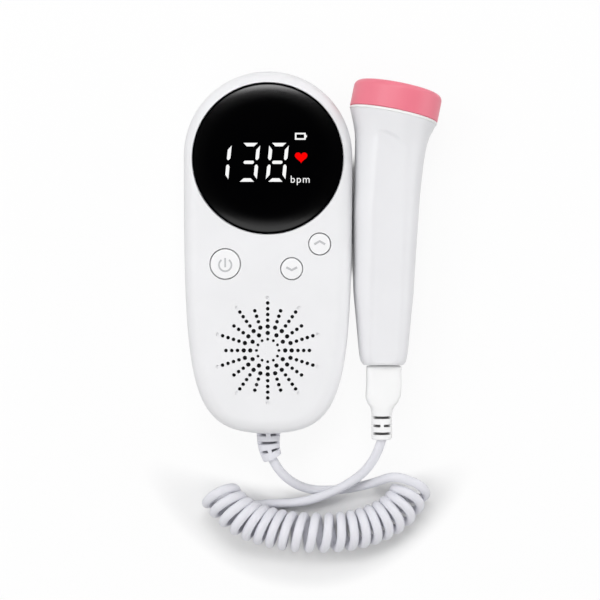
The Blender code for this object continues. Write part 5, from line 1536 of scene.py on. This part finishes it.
@dataclass
class Button:
    """One round push key with the sign printed on it."""

    name: str
    body: Body
    sign: KeySign
    x: float
    y: float
    hole_radius: float
    top: float = 0.0300
    gap: float = 0.00040
    crown: float = 0.00015
    edge: float = 0.00030
    flange_top: float = 0.0273
    flange_bottom: float = 0.0263
    flange_lip: float = 0.0008
    stem_radius: float = 0.0016
    stem_bottom: float = 0.0232
    arc_middle: Point2 = (0.0, -0.0003)
    arc_radius: float = 0.0025
    arc_opening: float = math.radians(36.0)
    arc_width: float = 0.00068
    bar_ends: Point2 = (-0.0012, 0.0025)
    arrow_arm: float = 0.00215
    arrow_width: float = 0.00090

    def height(self, reach: float) -> float:
        """Return the height of the crowned top at a distance from its middle."""
        radius = self.hole_radius - self.gap
        return self.top + self.crown * (1 - (reach / radius) ** 2)

    def cap(self, material: Material) -> None:
        """Build the key's cap, flange and stem.

        Args:
            material: their finish.
        """
        radius = self.hole_radius - self.gap
        flat = radius - self.edge
        profile = [(flat * share, self.height(flat * share)) for share in np.linspace(0, 1, 7)]
        low = self.height(flat) - self.edge
        profile += bend_arc((flat, low), self.edge, math.pi / 2, 0.0, 6)
        flange = self.hole_radius + self.flange_lip
        profile += [(radius, self.flange_top), (flange, self.flange_top),
                    (flange, self.flange_bottom), (self.stem_radius, self.flange_bottom),
                    (self.stem_radius, self.stem_bottom), (0.0, self.stem_bottom)]
        piece(self.name + "_cap", turned(profile, 96, at(self.x, self.y)), material, self.body,
              Slot.HOUSING, self.name + "_button")

    def sign_outlines(self) -> list[list[Point2]]:
        """Return the outlines of the key's sign about its middle."""
        if self.sign is KeySign.POWER:
            half, (low, high) = self.arc_width / 2, self.bar_ends
            arc = bend_arc(self.arc_middle, self.arc_radius, math.pi / 2 + self.arc_opening,
                           math.pi / 2 + math.tau - self.arc_opening, 40)
            return [strip(arc, self.arc_width), rectangle((-half, low), (half, high))]
        arm, rise = self.arrow_arm, self.sign.value[0]
        line = [(-arm, -rise / 2), (0.0, rise / 2), (arm, -rise / 2)]
        return [strip(line, self.arrow_width)]

    def print_sign(self, ink: Material) -> None:
        """Lay the printed sign on the key's top.

        Args:
            ink: its finish.
        """
        mesh = plates(self.sign_outlines(), -HAIR, HAIR)
        for vertex in mesh.vertices:
            x, y = vertex.co.x, vertex.co.y + self.sign.value[1]
            vertex.co = (self.x + x, self.y + y, self.height(math.hypot(x, y)) + vertex.co.z + HAIR)
        piece(self.name + "_sign", mesh, ink, self.body, Slot.DARK)

    def build(self, plastic: Material, ink: Material) -> None:
        """Build the key and its sign."""
        self.cap(plastic)
        self.print_sign(ink)


@dataclass
class Display:
    """The round cover lens with the lit reading behind it."""

    x: float = 0.0
    y: float = 0.0375
    radius: float = 0.0302
    bottom: float = 0.0289
    rim: float = 0.0302
    edge: float = 0.00018
    crown: float = 0.00100
    crown_power: float = 3.2
    digit_half_width: float = 0.00390
    digit_half_height: float = 0.00775
    bar_height: float = 0.00138
    bar_reach: Point2 = (0.00285, 0.00140)
    middle_reach: float = 0.00213
    middle_height: float = 0.00128
    post_width: float = 0.00137
    post_high: Point2 = (0.00105, 0.00280)
    post_low: Point3 = (0.00170, 0.00092, 0.00145)
    post_cuts: Point2 = (0.40, 0.75)
    middle_tip: Point2 = (0.45, 0.80)
    slant: float = math.radians(5.7)
    digits: tuple[tuple[str, float], ...] = (("1", -0.01894), ("3", -0.00754), ("8", 0.00386))
    digits_y: float = -0.00173
    battery_corners: tuple[Point2, Point2] = ((0.01090, 0.00728), (0.01520, 0.01006))
    battery_line: float = 0.00062
    battery_tip: float = 0.0006
    heart_place: Point2 = (0.01338, 0.00042)
    heart_scale: Point2 = (0.000157, 0.000150)
    heart_steps: int = 48
    unit_place: Point2 = (0.01300, -0.00985)
    unit_size: float = 0.0041
    unit_spacing: float = 1.18

    def height(self, x: float, y: float) -> float:
        """Return the height of the lens above a point about its middle."""
        reach = min(math.hypot(x, y) / self.radius, 1.0)
        return self.rim + self.crown * (1 - reach ** self.crown_power)

    def lens(self, material: Material) -> None:
        """Build the domed lens.

        Args:
            material: its finish.
        """
        shares = np.concatenate([np.linspace(0, 0.9, 19), np.linspace(0.915, 0.992, 9)])
        profile = [(self.radius * share, self.height(self.radius * share, 0.0)) for share in shares]
        profile += bend_arc((self.radius - self.edge, self.rim - self.edge), self.edge,
                            math.pi / 2, 0.0, 4)
        profile += [(self.radius, self.bottom), (0.0, self.bottom)]
        piece("lens_dome", turned(profile, 192, at(self.x, self.y)), material, Body.UNIT,
              Slot.LENS, "display_lens")

    def segment(self, letter: str) -> list[Point2]:
        """Return one mitred segment of an upright figure.

        Args:
            letter: a is the top bar, b to f run clockwise from it, g is the middle bar.

        Returns:
            Its outline about the figure's middle.
        """
        wide, high = self.digit_half_width, self.digit_half_height
        post, half = self.post_width, self.middle_height / 2
        outer, inner = self.bar_reach
        top = [(-outer, high), (outer, high), (inner, high - self.bar_height),
               (-inner, high - self.bar_height)]
        corner, tip, shoulder = self.post_low
        upper = [(wide, high - self.post_high[0]), (wide, corner),
                 *((wide - post * share, tip) for share in self.post_cuts),
                 (wide - post, shoulder), (wide - post, high - self.post_high[1])]
        reach, (slope, rise) = self.middle_reach, self.middle_tip
        end = [(reach, 0.0), (reach - half * slope, half * rise), (reach - half, half)]
        above = [(-x, y) for x, y in end] + end[::-1]
        middle = above + [(x, -y) for x, y in above[-2:0:-1]]
        flips = {"a": (top, 1, 1), "d": (top, 1, -1), "b": (upper, 1, 1), "c": (upper, 1, -1),
                 "f": (upper, -1, 1), "e": (upper, -1, -1), "g": (middle, 1, 1)}
        shape, across, up = flips[letter]
        return [(x * across, y * up) for x, y in shape]

    def reading(self) -> list[list[Point2]]:
        """Return the outlines of the lit number."""
        lit = {"1": "bc", "3": "abgcd", "8": "abcdefg"}
        lean = math.tan(self.slant)
        return [[(middle + x + y * lean, self.digits_y + y) for x, y in self.segment(letter)]
                for figure, middle in self.digits for letter in lit[figure]]

    def battery_sign(self) -> list[list[Point2]]:
        """Return the outlines of the battery sign: four bars and a pointed end."""
        (left, low), (right, high), line = *self.battery_corners, self.battery_line
        return [rectangle((left, low), (right, low + line)),
                rectangle((left, high - line), (right, high)),
                rectangle((left, low + line), (left + line, high - line)),
                [(right - line, low + line), (right, low + line),
                 (right + self.battery_tip, (low + high) / 2), (right, high - line),
                 (right - line, high - line)]]

    def heart_sign(self) -> list[list[Point2]]:
        """Return the outline of the heart."""
        points = []
        for step in range(self.heart_steps):
            angle = math.tau * step / self.heart_steps
            x = 16 * math.sin(angle) ** 3
            y = (13 * math.cos(angle) - 5 * math.cos(2 * angle) - 2 * math.cos(3 * angle)
                 - math.cos(4 * angle))
            points.append((self.heart_place[0] + x * self.heart_scale[0],
                           self.heart_place[1] + y * self.heart_scale[1]))
        return [points]

    def laid(self, name: str, mesh: Mesh, material: Material) -> None:
        """Lay a flat lit shape on the dome.

        Args:
            name: the piece's name.
            mesh: its mesh about the lens's middle.
            material: its finish.
        """
        for vertex in mesh.vertices:
            x, y, lift = vertex.co
            vertex.co = (self.x + x, self.y + y, self.height(x, y) + lift + 2 * HAIR)
        piece(name, mesh, material, Body.UNIT, Slot.LENS)

    def unit_word(self) -> Mesh:
        """Return the unit of the reading as a thin mesh."""
        text = bpy.data.curves.new("unit", "FONT")
        text.body = "bpm"
        text.size = self.unit_size
        text.space_character = self.unit_spacing
        text.extrude = HAIR
        text.align_x = "CENTER"
        mesh = baked(loose("unit", text))
        mesh.transform(at(*self.unit_place))
        return mesh

    def build(self, gloss: Material, white: Material, red: Material) -> None:
        """Build the lens and everything lit on it.

        Args:
            gloss: the lens's finish.
            white: the finish of what is lit white.
            red: the heart's finish.
        """
        self.lens(gloss)
        for name, outlines, light in (("lit_number", self.reading(), white),
                                      ("lit_battery", self.battery_sign(), white),
                                      ("lit_heart", self.heart_sign(), red)):
            self.laid(name, plates(outlines, -HAIR, HAIR), light)
        self.laid("lit_unit", self.unit_word(), white)


@dataclass(frozen=True)
class Grooves:
    """Cuts across a relief; every second one is bridged at its top and foot."""

    places: tuple[float, ...]
    depth: float
    first_bridged: int
    bridge: Point2
    width: float = 0.00095
    soft: float = 0.00014
    side_fade: Point2 = (0.15, 0.40)

    def depth_at(self, along: float, angle: float) -> float:
        """Return how deep the surface is cut at a place.

        Args:
            along: the distance from the start of the relief.
            angle: the angle round it, with 90 degrees at its top.

        Returns:
            The depth of the cut.
        """
        number = min(range(len(self.places)), key=lambda item: abs(along - self.places[item]))
        outside = abs(along - self.places[number]) - self.width / 2
        share = eased((self.soft - outside) / (2 * self.soft))
        share *= eased((abs(math.sin(angle)) - self.side_fade[0]) / self.side_fade[1])
        if number % 2 == self.first_bridged:
            share *= eased((abs(math.cos(angle)) - self.bridge[0]) / self.bridge[1])
        return self.depth * share


@dataclass
class StrainRelief:
    """Ribbed, bending strain relief at the foot of the display unit."""

    foot_y: float = -0.07305
    height: float = 0.0150
    wall: float = 0.0022
    flange_radius: float = 0.0054
    flange_length: float = 0.0012
    neck_radius: float = 0.0041
    root_radius: float = 0.0049
    tip_radius: float = 0.0040
    length: float = 0.0107
    ring_bores: Point2 = (0.0020, 0.0019)
    grooves: Grooves = Grooves((0.00085, 0.00410, 0.00735), 0.0022, 0, (0.18, 0.12))
    bend: float = math.radians(26.0)
    drop: float = math.radians(7.0)
    straight: float = 0.0032
    edge: float = 0.00028
    step: float = 0.00010
    sides: int = 64

    def build(self, material: Material) -> None:
        """Build the relief as one swept skin.

        Args:
            material: its finish.
        """
        inner = self.foot_y + self.wall + FIT_GAP
        rings: list[Ring] = []

        def add(centre: Vector, side: float, fall: float, radius_at: Callable[[float], float]) -> None:
            """Add one ring across the relief's line.

            Args:
                centre: its middle.
                side: how far the line has turned sideways.
                fall: how far it has turned down.
                radius_at: the radius at an angle.
            """
            across = Vector((math.cos(side), math.sin(side), 0.0))
            along = Vector((math.sin(side), -math.cos(side), -math.sin(fall))).normalized()
            up = across.cross(along)
            if up.z < 0:
                up = -up
            turns = [math.tau * index / self.sides for index in range(self.sides)]
            rings.append([centre + across * radius_at(angle) * math.cos(angle)
                          + up * radius_at(angle) * math.sin(angle) for angle in turns])

        for y, radius in ((inner + self.flange_length, self.ring_bores[0]),
                          (inner + self.flange_length, self.flange_radius),
                          (inner, self.flange_radius), (inner, self.neck_radius),
                          (self.foot_y - FIT_GAP, self.neck_radius),
                          (self.foot_y - FIT_GAP, self.root_radius - self.edge)):
            add(Vector((0.0, y, self.height)), 0.0, 0.0, lambda _, size=radius: size)
        total, start = self.length, self.straight
        place = Vector((0.0, self.foot_y - FIT_GAP, self.height))
        count = int(total / self.step)
        for index in range(count + 1):
            along = total * index / count
            share = min(1.0, max(0.0, along - start) / (total - start))
            side, fall = self.bend * share, self.drop * share
            if index:
                place = place + Vector((math.sin(side), -math.cos(side),
                                        -math.sin(fall))) * (total / count)
            base = self.root_radius + (self.tip_radius - self.root_radius) * along / total
            base -= rounding(self.edge, min(along, total - along))
            add(place, side, fall, lambda angle, size=base, reach=along:
                size - self.grooves.depth_at(reach, angle))
        add(place, self.bend, self.drop, lambda _: self.ring_bores[1])
        piece("ribbed_relief", loft(rings), material, Body.UNIT, Slot.CORD, "monitor_strain_relief")


# The probe, its plug and its cradle

@dataclass
class Probe:
    """Handle halves, gasket, pink cap and acoustic face of the probe."""

    x: float = 0.047506
    z: float = 0.0184
    head_y: float = 0.0553
    length: float = 0.1008
    head_radius: float = 0.01815
    head_offset: float = 0.0033
    head_tilt: float = math.radians(11.4)
    tail_half_width: float = 0.0076
    tail_half_depth: float = 0.0073
    wall: float = 0.0018
    split: float = 0.00010
    hole: Point2 = (0.0056, 0.0034)
    stations: tuple[tuple[float, ...], ...] = (
        (0.000, -0.20, 0.055, 0.020, 0.00, 2.6), (0.012, -0.20, 0.142, 0.100, 0.00, 2.6),
        (0.037, -0.20, 0.202, 0.149, 0.00, 2.6), (0.081, -0.19, 0.250, 0.177, 0.00, 2.6),
        (0.193, -0.18, 0.348, 0.249, 0.00, 2.6), (0.305, -0.17, 0.443, 0.319, 0.00, 2.6),
        (0.422, -0.06, 0.476, 0.389, 0.00, 2.6), (0.613, 0.13, 0.540, 0.494, 0.10, 2.6),
        (0.714, 0.30, 0.562, 0.547, 0.26, 2.5), (0.812, 0.50, 0.607, 0.606, 0.46, 2.4),
        (0.896, 0.72, 0.669, 0.673, 0.68, 2.2), (0.938, 0.82, 0.752, 0.770, 0.82, 2.1),
        (0.971, 0.91, 0.862, 0.880, 0.92, 2.0), (1.000, 1.00, 0.965, 0.965, 1.00, 2.0))
    spans: tuple[tuple[float, float, int], ...] = (
        (0.0, 0.012, 7), (0.012, 0.08, 15), (0.08, 0.86, 118), (0.86, 1.0, 40))
    flat_width: float = 0.0128
    flat_head: float = 0.0071
    flat_tail: float = 0.0012
    flat_skew: float = 0.0022
    flat_high_cut: float = 0.00141
    flat_low_cut: float = 0.00047
    flat_edge: float = 0.00080
    flat_drop: float = 0.0107
    gasket_low: float = 0.00006
    gasket_high: float = 0.0011
    gasket_inset: float = 0.0001
    bevel: float = 0.0002
    cap_length: float = 0.0122
    cap_radius: float = 0.0026
    cap_bevel: float = 0.0003
    spigot_radius: float = 0.01240
    spigot_reach: float = 0.0025
    bore_radius: float = 0.01080
    face_ledge: float = 0.0008
    face_seat: float = 0.0016
    face_crown: float = 0.0010
    ring_steps: int = 56
    flat_depths: Point2 = field(init=False)

    def __post_init__(self) -> None:
        """Work out the flat's height above the split at both of its ends."""
        self.flat_depths = (
            self.depth_at(self.tail_y() + self.flat_tail) - self.flat_low_cut,
            self.depth_at(self.head_y - self.flat_head) - self.flat_high_cut)

    def tail_y(self) -> float:
        """Return where the handle ends towards the cord."""
        return self.head_y - self.length

    def along(self) -> np.ndarray:
        """Return the places of the fine stations, closest together at both ends."""
        return np.unique(np.concatenate([np.linspace(*span) for span in self.spans]))

    def values(self) -> np.ndarray:
        """Return place, centre, half width, half depth, tilt and squareness, one row each."""
        table = np.array(self.stations)
        places = self.along()
        columns = [monotone(table[:, 0], table[:, column], places) for column in range(1, 6)]
        across, width, depth, tilt, squareness = columns
        return np.column_stack([
            self.tail_y() + self.length * places, self.x + self.head_offset * across,
            self.tail_half_width + width * (self.head_radius - self.tail_half_width),
            self.tail_half_depth + depth * (self.head_radius - self.tail_half_depth),
            self.head_tilt * tilt, squareness])

    def depth_at(self, y: float) -> float:
        """Return the handle's half depth at a place along it."""
        rows = self.values()
        return float(np.interp(y, rows[:, 0], rows[:, 3])) + self.split

    def flattened(self, point: Vector) -> Vector:
        """Return a point of the front skin after the thumb flat is planed.

        Args:
            point: the point of the full skin.

        Returns:
            The point on the planed skin.
        """
        low_y = self.tail_y() + self.flat_tail
        length = self.head_y - self.flat_head - low_y
        low, high = self.flat_depths
        lean = math.atan2(self.flat_skew, length)
        x, y = point.x - self.x, point.y - low_y
        across = x * math.cos(lean) - y * math.sin(lean)
        up = x * math.sin(lean) + y * math.cos(lean)
        half = self.flat_width / 2
        share = min(max((across + half) / self.flat_width, 0.0), 1.0)
        arch = length - self.flat_drop * (1 - math.sqrt(1 - share ** 2))
        inside = min(half - abs(across), up, arch - up)
        plane = self.z + low + (high - low) * up / length
        share = eased((inside + self.flat_edge) / (2 * self.flat_edge))
        return Vector((point.x, point.y, point.z - share * max(0.0, point.z - plane)))

    def arc_ring(self, row: np.ndarray, side: Side, shrink: float = 0.0,
                 place_y: float | None = None) -> Ring:
        """Return one half ring of the handle.

        Args:
            row: the station's values.
            side: which half.
            shrink: how far it lies inside the skin.
            place_y: another place along the handle.

        Returns:
            The ring's points.
        """
        y, centre, width, depth, lean, squareness = row
        y = y if place_y is None else place_y
        ring = []
        for step in range(self.ring_steps + 1):
            across, up = section(width - shrink, depth - shrink, squareness,
                                 math.pi * step / self.ring_steps)
            ring.append(Vector((centre + across * math.cos(lean), y - across * math.sin(lean),
                                self.z + side.value * (self.split + up))))
        return ring

    def half(self, name: str, side: Side, material: Material) -> None:
        """Build one moulded half of the handle.

        Args:
            name: the piece's name.
            side: which half.
            material: its finish.
        """
        rows = self.values()
        tail = self.tail_y()
        hole = np.array([tail, self.x, *self.hole, 0.0, 8.0])
        skin = [self.arc_ring(row, side) for row in rows]
        if side is Side.FRONT:
            skin = [[self.flattened(point) for point in ring] for ring in skin]
        outer = [self.arc_ring(hole, side)] + skin
        inner = [self.arc_ring(hole, side, 0.0, tail + self.wall)]
        for row in rows:
            inner.append(self.arc_ring(row, side, self.wall, max(row[0], tail + self.wall)))

        def build(shape: bmesh.types.BMesh) -> None:
            """Add the outer and inner skins and the rims between them."""
            walls = [[[shape.verts.new(point) for point in ring] for ring in rings]
                     for rings in (outer, inner)]
            for rows in (*walls, *([wall[end] for wall in walls] for end in (0, -1)),
                         *([[ring[edge] for ring in wall] for wall in walls]
                           for edge in (0, self.ring_steps))):
                add_faces(shape, rows, closed=False)
        node = "probe_front_shell" if side is Side.FRONT else "probe_rear_shell"
        piece(name, new_mesh(build), material, Body.PROBE, Slot.PROBE, node)

    def head_placing(self) -> Matrix:
        """Return the matrix that lays a turned shape on the axis of the head."""
        axis = Vector((math.sin(self.head_tilt), math.cos(self.head_tilt), 0.0))
        turn = Vector((0.0, 0.0, 1.0)).rotation_difference(axis).to_matrix().to_4x4()
        centre = Vector((self.x + self.head_offset, self.head_y, self.z))
        return Matrix.Translation(centre) @ turn

    def head(self, white: Material, pink: Material, pale: Material) -> None:
        """Build the gasket, the pink cap and the acoustic face.

        Args:
            white: the gasket's finish.
            pink: the cap's finish.
            pale: the face's finish.
        """
        radius, spigot, bore = self.head_radius, self.spigot_radius, self.bore_radius
        face, bevel = bore + self.face_ledge, self.bevel
        side = radius - self.gasket_inset
        gasket = [(side - bevel, self.gasket_low), (side, self.gasket_low + bevel),
                  (side, self.gasket_high - bevel), (side - bevel, self.gasket_high),
                  (spigot + FIT_GAP, self.gasket_high), (spigot + FIT_GAP, self.gasket_low)]
        low = self.gasket_high + self.gasket_inset
        top = self.cap_length
        seat = top - self.face_seat
        cap = [(face + FIT_GAP, top - bevel), (face + FIT_GAP + bevel, top)]
        cap += bend_arc((radius - self.cap_radius, top - self.cap_radius), self.cap_radius,
                        math.pi / 2, 0.0, 16)
        cap += [(radius, low + self.cap_bevel), (radius - self.cap_bevel, low), (spigot, low),
                (spigot, -self.spigot_reach), (bore, -self.spigot_reach), (bore, seat),
                (face + FIT_GAP, seat)]
        dome = [(face * share, top + self.face_crown * (1 - share ** 2))
                for share in np.linspace(0, 0.97, 12)]
        dome += [(face, top - bevel / 2), (face, seat + FIT_GAP), (0.0, seat + FIT_GAP)]
        for name, profile, steps, finish, slot, node in (
                ("soft_gasket", gasket, 128, white, Slot.PROBE, "head_gasket"),
                ("pink_cap", cap, 160, pink, Slot.CAP, "probe_cap"),
                ("acoustic_face", dome, 128, pale, Slot.PROBE, "probe_face")):
            piece(name, turned(profile, steps, self.head_placing(), profile is not dome), finish,
                  Body.PROBE, slot, node)

    def build(self, plastic: Material, gasket: Material, pink: Material, pale: Material) -> None:
        """Build every visible piece of the probe.

        Args:
            plastic: the handle's finish.
            gasket: the gasket's finish.
            pink: the cap's finish.
            pale: the face's finish.
        """
        self.half("handle_front", Side.FRONT, plastic)
        self.half("handle_rear", Side.REAR, plastic)
        self.head(gasket, pink, pale)


@dataclass
class Plug:
    """Moulded plug body with tapering shoulders and a grooved relief."""

    x: float = 0.047106
    z: float = 0.0184
    face_y: float = -0.0460
    half_width: float = 0.00715
    half_depth: float = 0.0046
    body_length: float = 0.0120
    taper_length: float = 0.0080
    relief_length: float = 0.0100
    relief_radius: float = 0.00418
    taper_shares: Point2 = (0.35, 0.70)
    taper_widths: Point2 = (0.00627, 0.00457)
    taper_depth: float = 0.00450
    squareness: tuple[float, ...] = (3.6, 3.6, 3.0, 2.3, 2.0, 2.0)
    grooves: Grooves = Grooves((0.00095, 0.00430, 0.00745), 0.0020, 1, (0.16, 0.12))
    sway: float = -0.0009
    sway_from: float = 0.0060
    sway_length: float = 0.0150
    end_radius: float = 0.0008
    face_edge: float = 0.0007
    sides: int = 96

    def build(self, material: Material) -> None:
        """Build the plug as one lofted skin.

        Args:
            material: its finish.
        """
        total = self.body_length + self.taper_length + self.relief_length
        shoulder = self.body_length
        start = shoulder + self.taper_length
        places = np.unique(np.concatenate([
            [0.0], self.face_edge * (1 - np.cos(np.linspace(0, math.pi / 2, 7))),
            np.linspace(self.face_edge, shoulder, 16), np.linspace(shoulder, start, 34),
            np.linspace(start, total - self.end_radius, 120),
            total - self.end_radius * (1 - np.sin(np.linspace(0, math.pi / 2, 7)))]))
        knots = (0.0, shoulder, *(shoulder + share * self.taper_length
                                  for share in self.taper_shares), start, total)
        round_end = (self.relief_radius, self.relief_radius)
        width = monotone(knots, (self.half_width, self.half_width, *self.taper_widths,
                                 *round_end), places)
        depth = monotone(knots, (self.half_depth, self.half_depth, self.half_depth,
                                 self.taper_depth, *round_end), places)
        square = monotone(knots, self.squareness, places)
        rings = []
        for along, half_width, half_depth, squareness in zip(places, width, depth, square):
            shrink = rounding(self.face_edge, along) + rounding(self.end_radius, total - along)
            ring = []
            middle = self.x + self.sway * eased((along - self.sway_from) / self.sway_length)
            for index in range(self.sides):
                angle = math.tau * index / self.sides
                inset = shrink
                if along > start:
                    inset += self.grooves.depth_at(along - start, angle)
                across, up = section(half_width - inset, half_depth - inset, squareness, angle)
                ring.append(Vector((middle + across, self.face_y - along, self.z + up)))
            rings.append(ring)
        piece("plug_body", loft(rings), material, Body.UNIT, Slot.HOUSING, "plug_overmould")


@dataclass
class Cradle:
    """J-shaped rest on the side of the display unit that carries the handle."""

    low_y: float = 0.0040
    length: float = 0.0210
    wall: float = 0.0018
    centre_x: float = 0.0479
    z: float = 0.0184
    half_width: float = 0.0144
    half_depth: float = 0.0137
    foot_x: float = 0.0343
    foot_shares: Point2 = (0.25, 0.50)
    turn_from: float = 222.0
    turn_to: float = 320.0
    turn_back: float = 242.0
    steps: int = 48
    squareness: float = 2.6
    edge: float = 0.0005

    def build(self, material: Material) -> None:
        """Build the cradle from its curved outline.

        Args:
            material: its finish.
        """
        outline: list[Point2] = []
        for start, end, wall in ((self.turn_from, self.turn_to, 0.0),
                                 (self.turn_to, self.turn_back, self.wall)):
            for angle in np.radians(np.linspace(start, end, self.steps + 1)):
                across, up = section(self.half_width + wall, self.half_depth + wall,
                                     self.squareness, angle)
                outline.append((self.centre_x + across, self.z + up))
        outline += [(self.foot_x, self.z * share) for share in self.foot_shares]
        mesh = plates([outline], 0.0, self.length)
        mesh.transform(at(0.0, self.low_y + self.length) @ Matrix.Rotation(math.pi / 2, 4, "X"))
        piece("handle_cradle", softened(mesh, self.edge), material, Body.UNIT, Slot.HOUSING,
              "probe_cradle")


# What stays as the model made it

@dataclass
class InnerParts:
    """The CAD nodes that keep their shape and get a finish."""

    finishes: dict[str, Material]
    nodes: tuple[tuple[str, tuple[str, ...]], ...] = (
        ("cloth", ("speaker_dust_cloth",)),
        ("cone", ("speaker_cone",)),
        ("steel", ("speaker_basket", "speaker_magnet", "battery_contact_positive",
                   "battery_contact_negative", "battery_bridge", "plug_shell")),
        ("board", ("main_board", "probe_board")),
        ("dark", ("display_module", "plug_tongue", "probe_socket", "transducer_backing",
                  *(f"{key}_{part}" for key in ("power", "volume_up", "volume_down")
                    for part in ("switch", "switch_plunger")))),
        ("cell_left", ("battery_cell_left",)), ("cell_right", ("battery_cell_right",)),
        ("ceramic", ("piezo_crystal_left", "piezo_crystal_right")))

    def build(self) -> None:
        """Give each node its finish."""
        for finish, names in self.nodes:
            for name in names:
                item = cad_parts[name]
                if not item.material_slots:
                    item.data.materials.append(self.finishes[finish])
                for slot in item.material_slots:
                    slot.material = self.finishes[finish]
        LOG.info("inner parts: %d finishes", len(self.nodes))


def main() -> None:
    """Build the scene in order: camera, cord, display unit, probe, inner parts."""
    logging.basicConfig(level=logging.INFO, format="%(message)s")
    Studio().build()

    housing_white = MouldedPlastic("housing_white_satin", (0.845, 0.845, 0.86)).material()
    key_white = MouldedPlastic("key_white_satin", (0.90, 0.90, 0.91), 0.38).material()
    probe_white = MouldedPlastic("probe_white_satin", (0.83, 0.83, 0.85), 0.36).material()
    cord_white = MouldedPlastic("cord_soft_white", (0.80, 0.80, 0.85), 0.50, 3800.0,
                                0.00002, 0.2).material()
    # Both reliefs carry painted shade in their narrow cuts.
    relief_white = RibbedPlastic("relief_soft_white", (0.80, 0.80, 0.85), 0.50,
                                 origin=(0.0, -0.0731, 0.0150), way=(0.0768, -0.9969, -0.0200),
                                 open_from=(0.0026, 0.0038),
                                 painted_groove_shade=(0.24, 0.24, 0.27)).material()
    plug_white = RibbedPlastic("plug_soft_white", (0.95, 0.95, 0.95), 0.50,
                               origin=(0.046206, -0.0661, 0.0184)).material()
    ring_white = MouldedPlastic("ring_soft_white", (0.93, 0.93, 0.93), 0.50).material()
    pink = MouldedPlastic("cap_pink_gloss", (0.86, 0.200, 0.270), 0.42, 2600.0, 0.00001, 0.08,
                          0.04, 0.05, 0.06).material()
    face_pale = MouldedPlastic("face_silicone", (0.78, 0.78, 0.80), 0.30).material()
    steel = Metal("plated_steel").material()

    display = Display()
    lens = LensGloss("lens_gloss", (display.x, display.y, display.rim)).material()
    white_light = Lit("reading_white", (1.0, 1.0, 1.0)).material()
    red_light = Lit("heart_red", (1.0, 0.0, 0.0), 1.0).material()
    grey_ink = Ink("sign_grey", (0.50, 0.50, 0.52)).material()

    cord = CurlyCord()
    cord_piece, path = cord.build(cord_white)
    Plug().build(plug_white)

    buttons = (Button("power", Body.POWER_KEY, KeySign.POWER, -0.0170, -0.0048, 0.0063),
               Button("volume_up", Body.VOLUME_UP_KEY, KeySign.UP, 0.0208, 0.0032, 0.0046),
               Button("volume_down", Body.VOLUME_DOWN_KEY, KeySign.DOWN, 0.0096, -0.0067,
                      0.0046))
    housing = Housing()
    housing.front(housing_white, buttons)
    housing.rear(housing_white)
    housing.door(housing_white)
    housing.fasteners(steel)
    for button in buttons:
        button.build(key_white, grey_ink)
    display.build(lens, white_light, red_light)
    StrainRelief().build(relief_white)
    Probe().build(probe_white, ring_white, pink, face_pale)
    Cradle().build(housing_white)
    InnerParts({
        "cloth": WovenCloth("dust_cloth").material(),
        "cone": MouldedPlastic("paper_cone", (0.05, 0.05, 0.05), 0.8).material(),
        "steel": steel,
        "board": CircuitBoard("circuit_board").material(),
        "dark": MouldedPlastic("dark_moulding", (0.03, 0.03, 0.035), 0.45).material(),
        "cell_left": CellJacket("cell_jacket_left", (-0.058, -0.046)).material(),
        "cell_right": CellJacket("cell_jacket_right", (-0.027, -0.015)).material(),
        "ceramic": MouldedPlastic("fired_ceramic", (0.70, 0.52, 0.22), 0.40).material(),
    }).build()


if __name__ == "__main__":
    main()
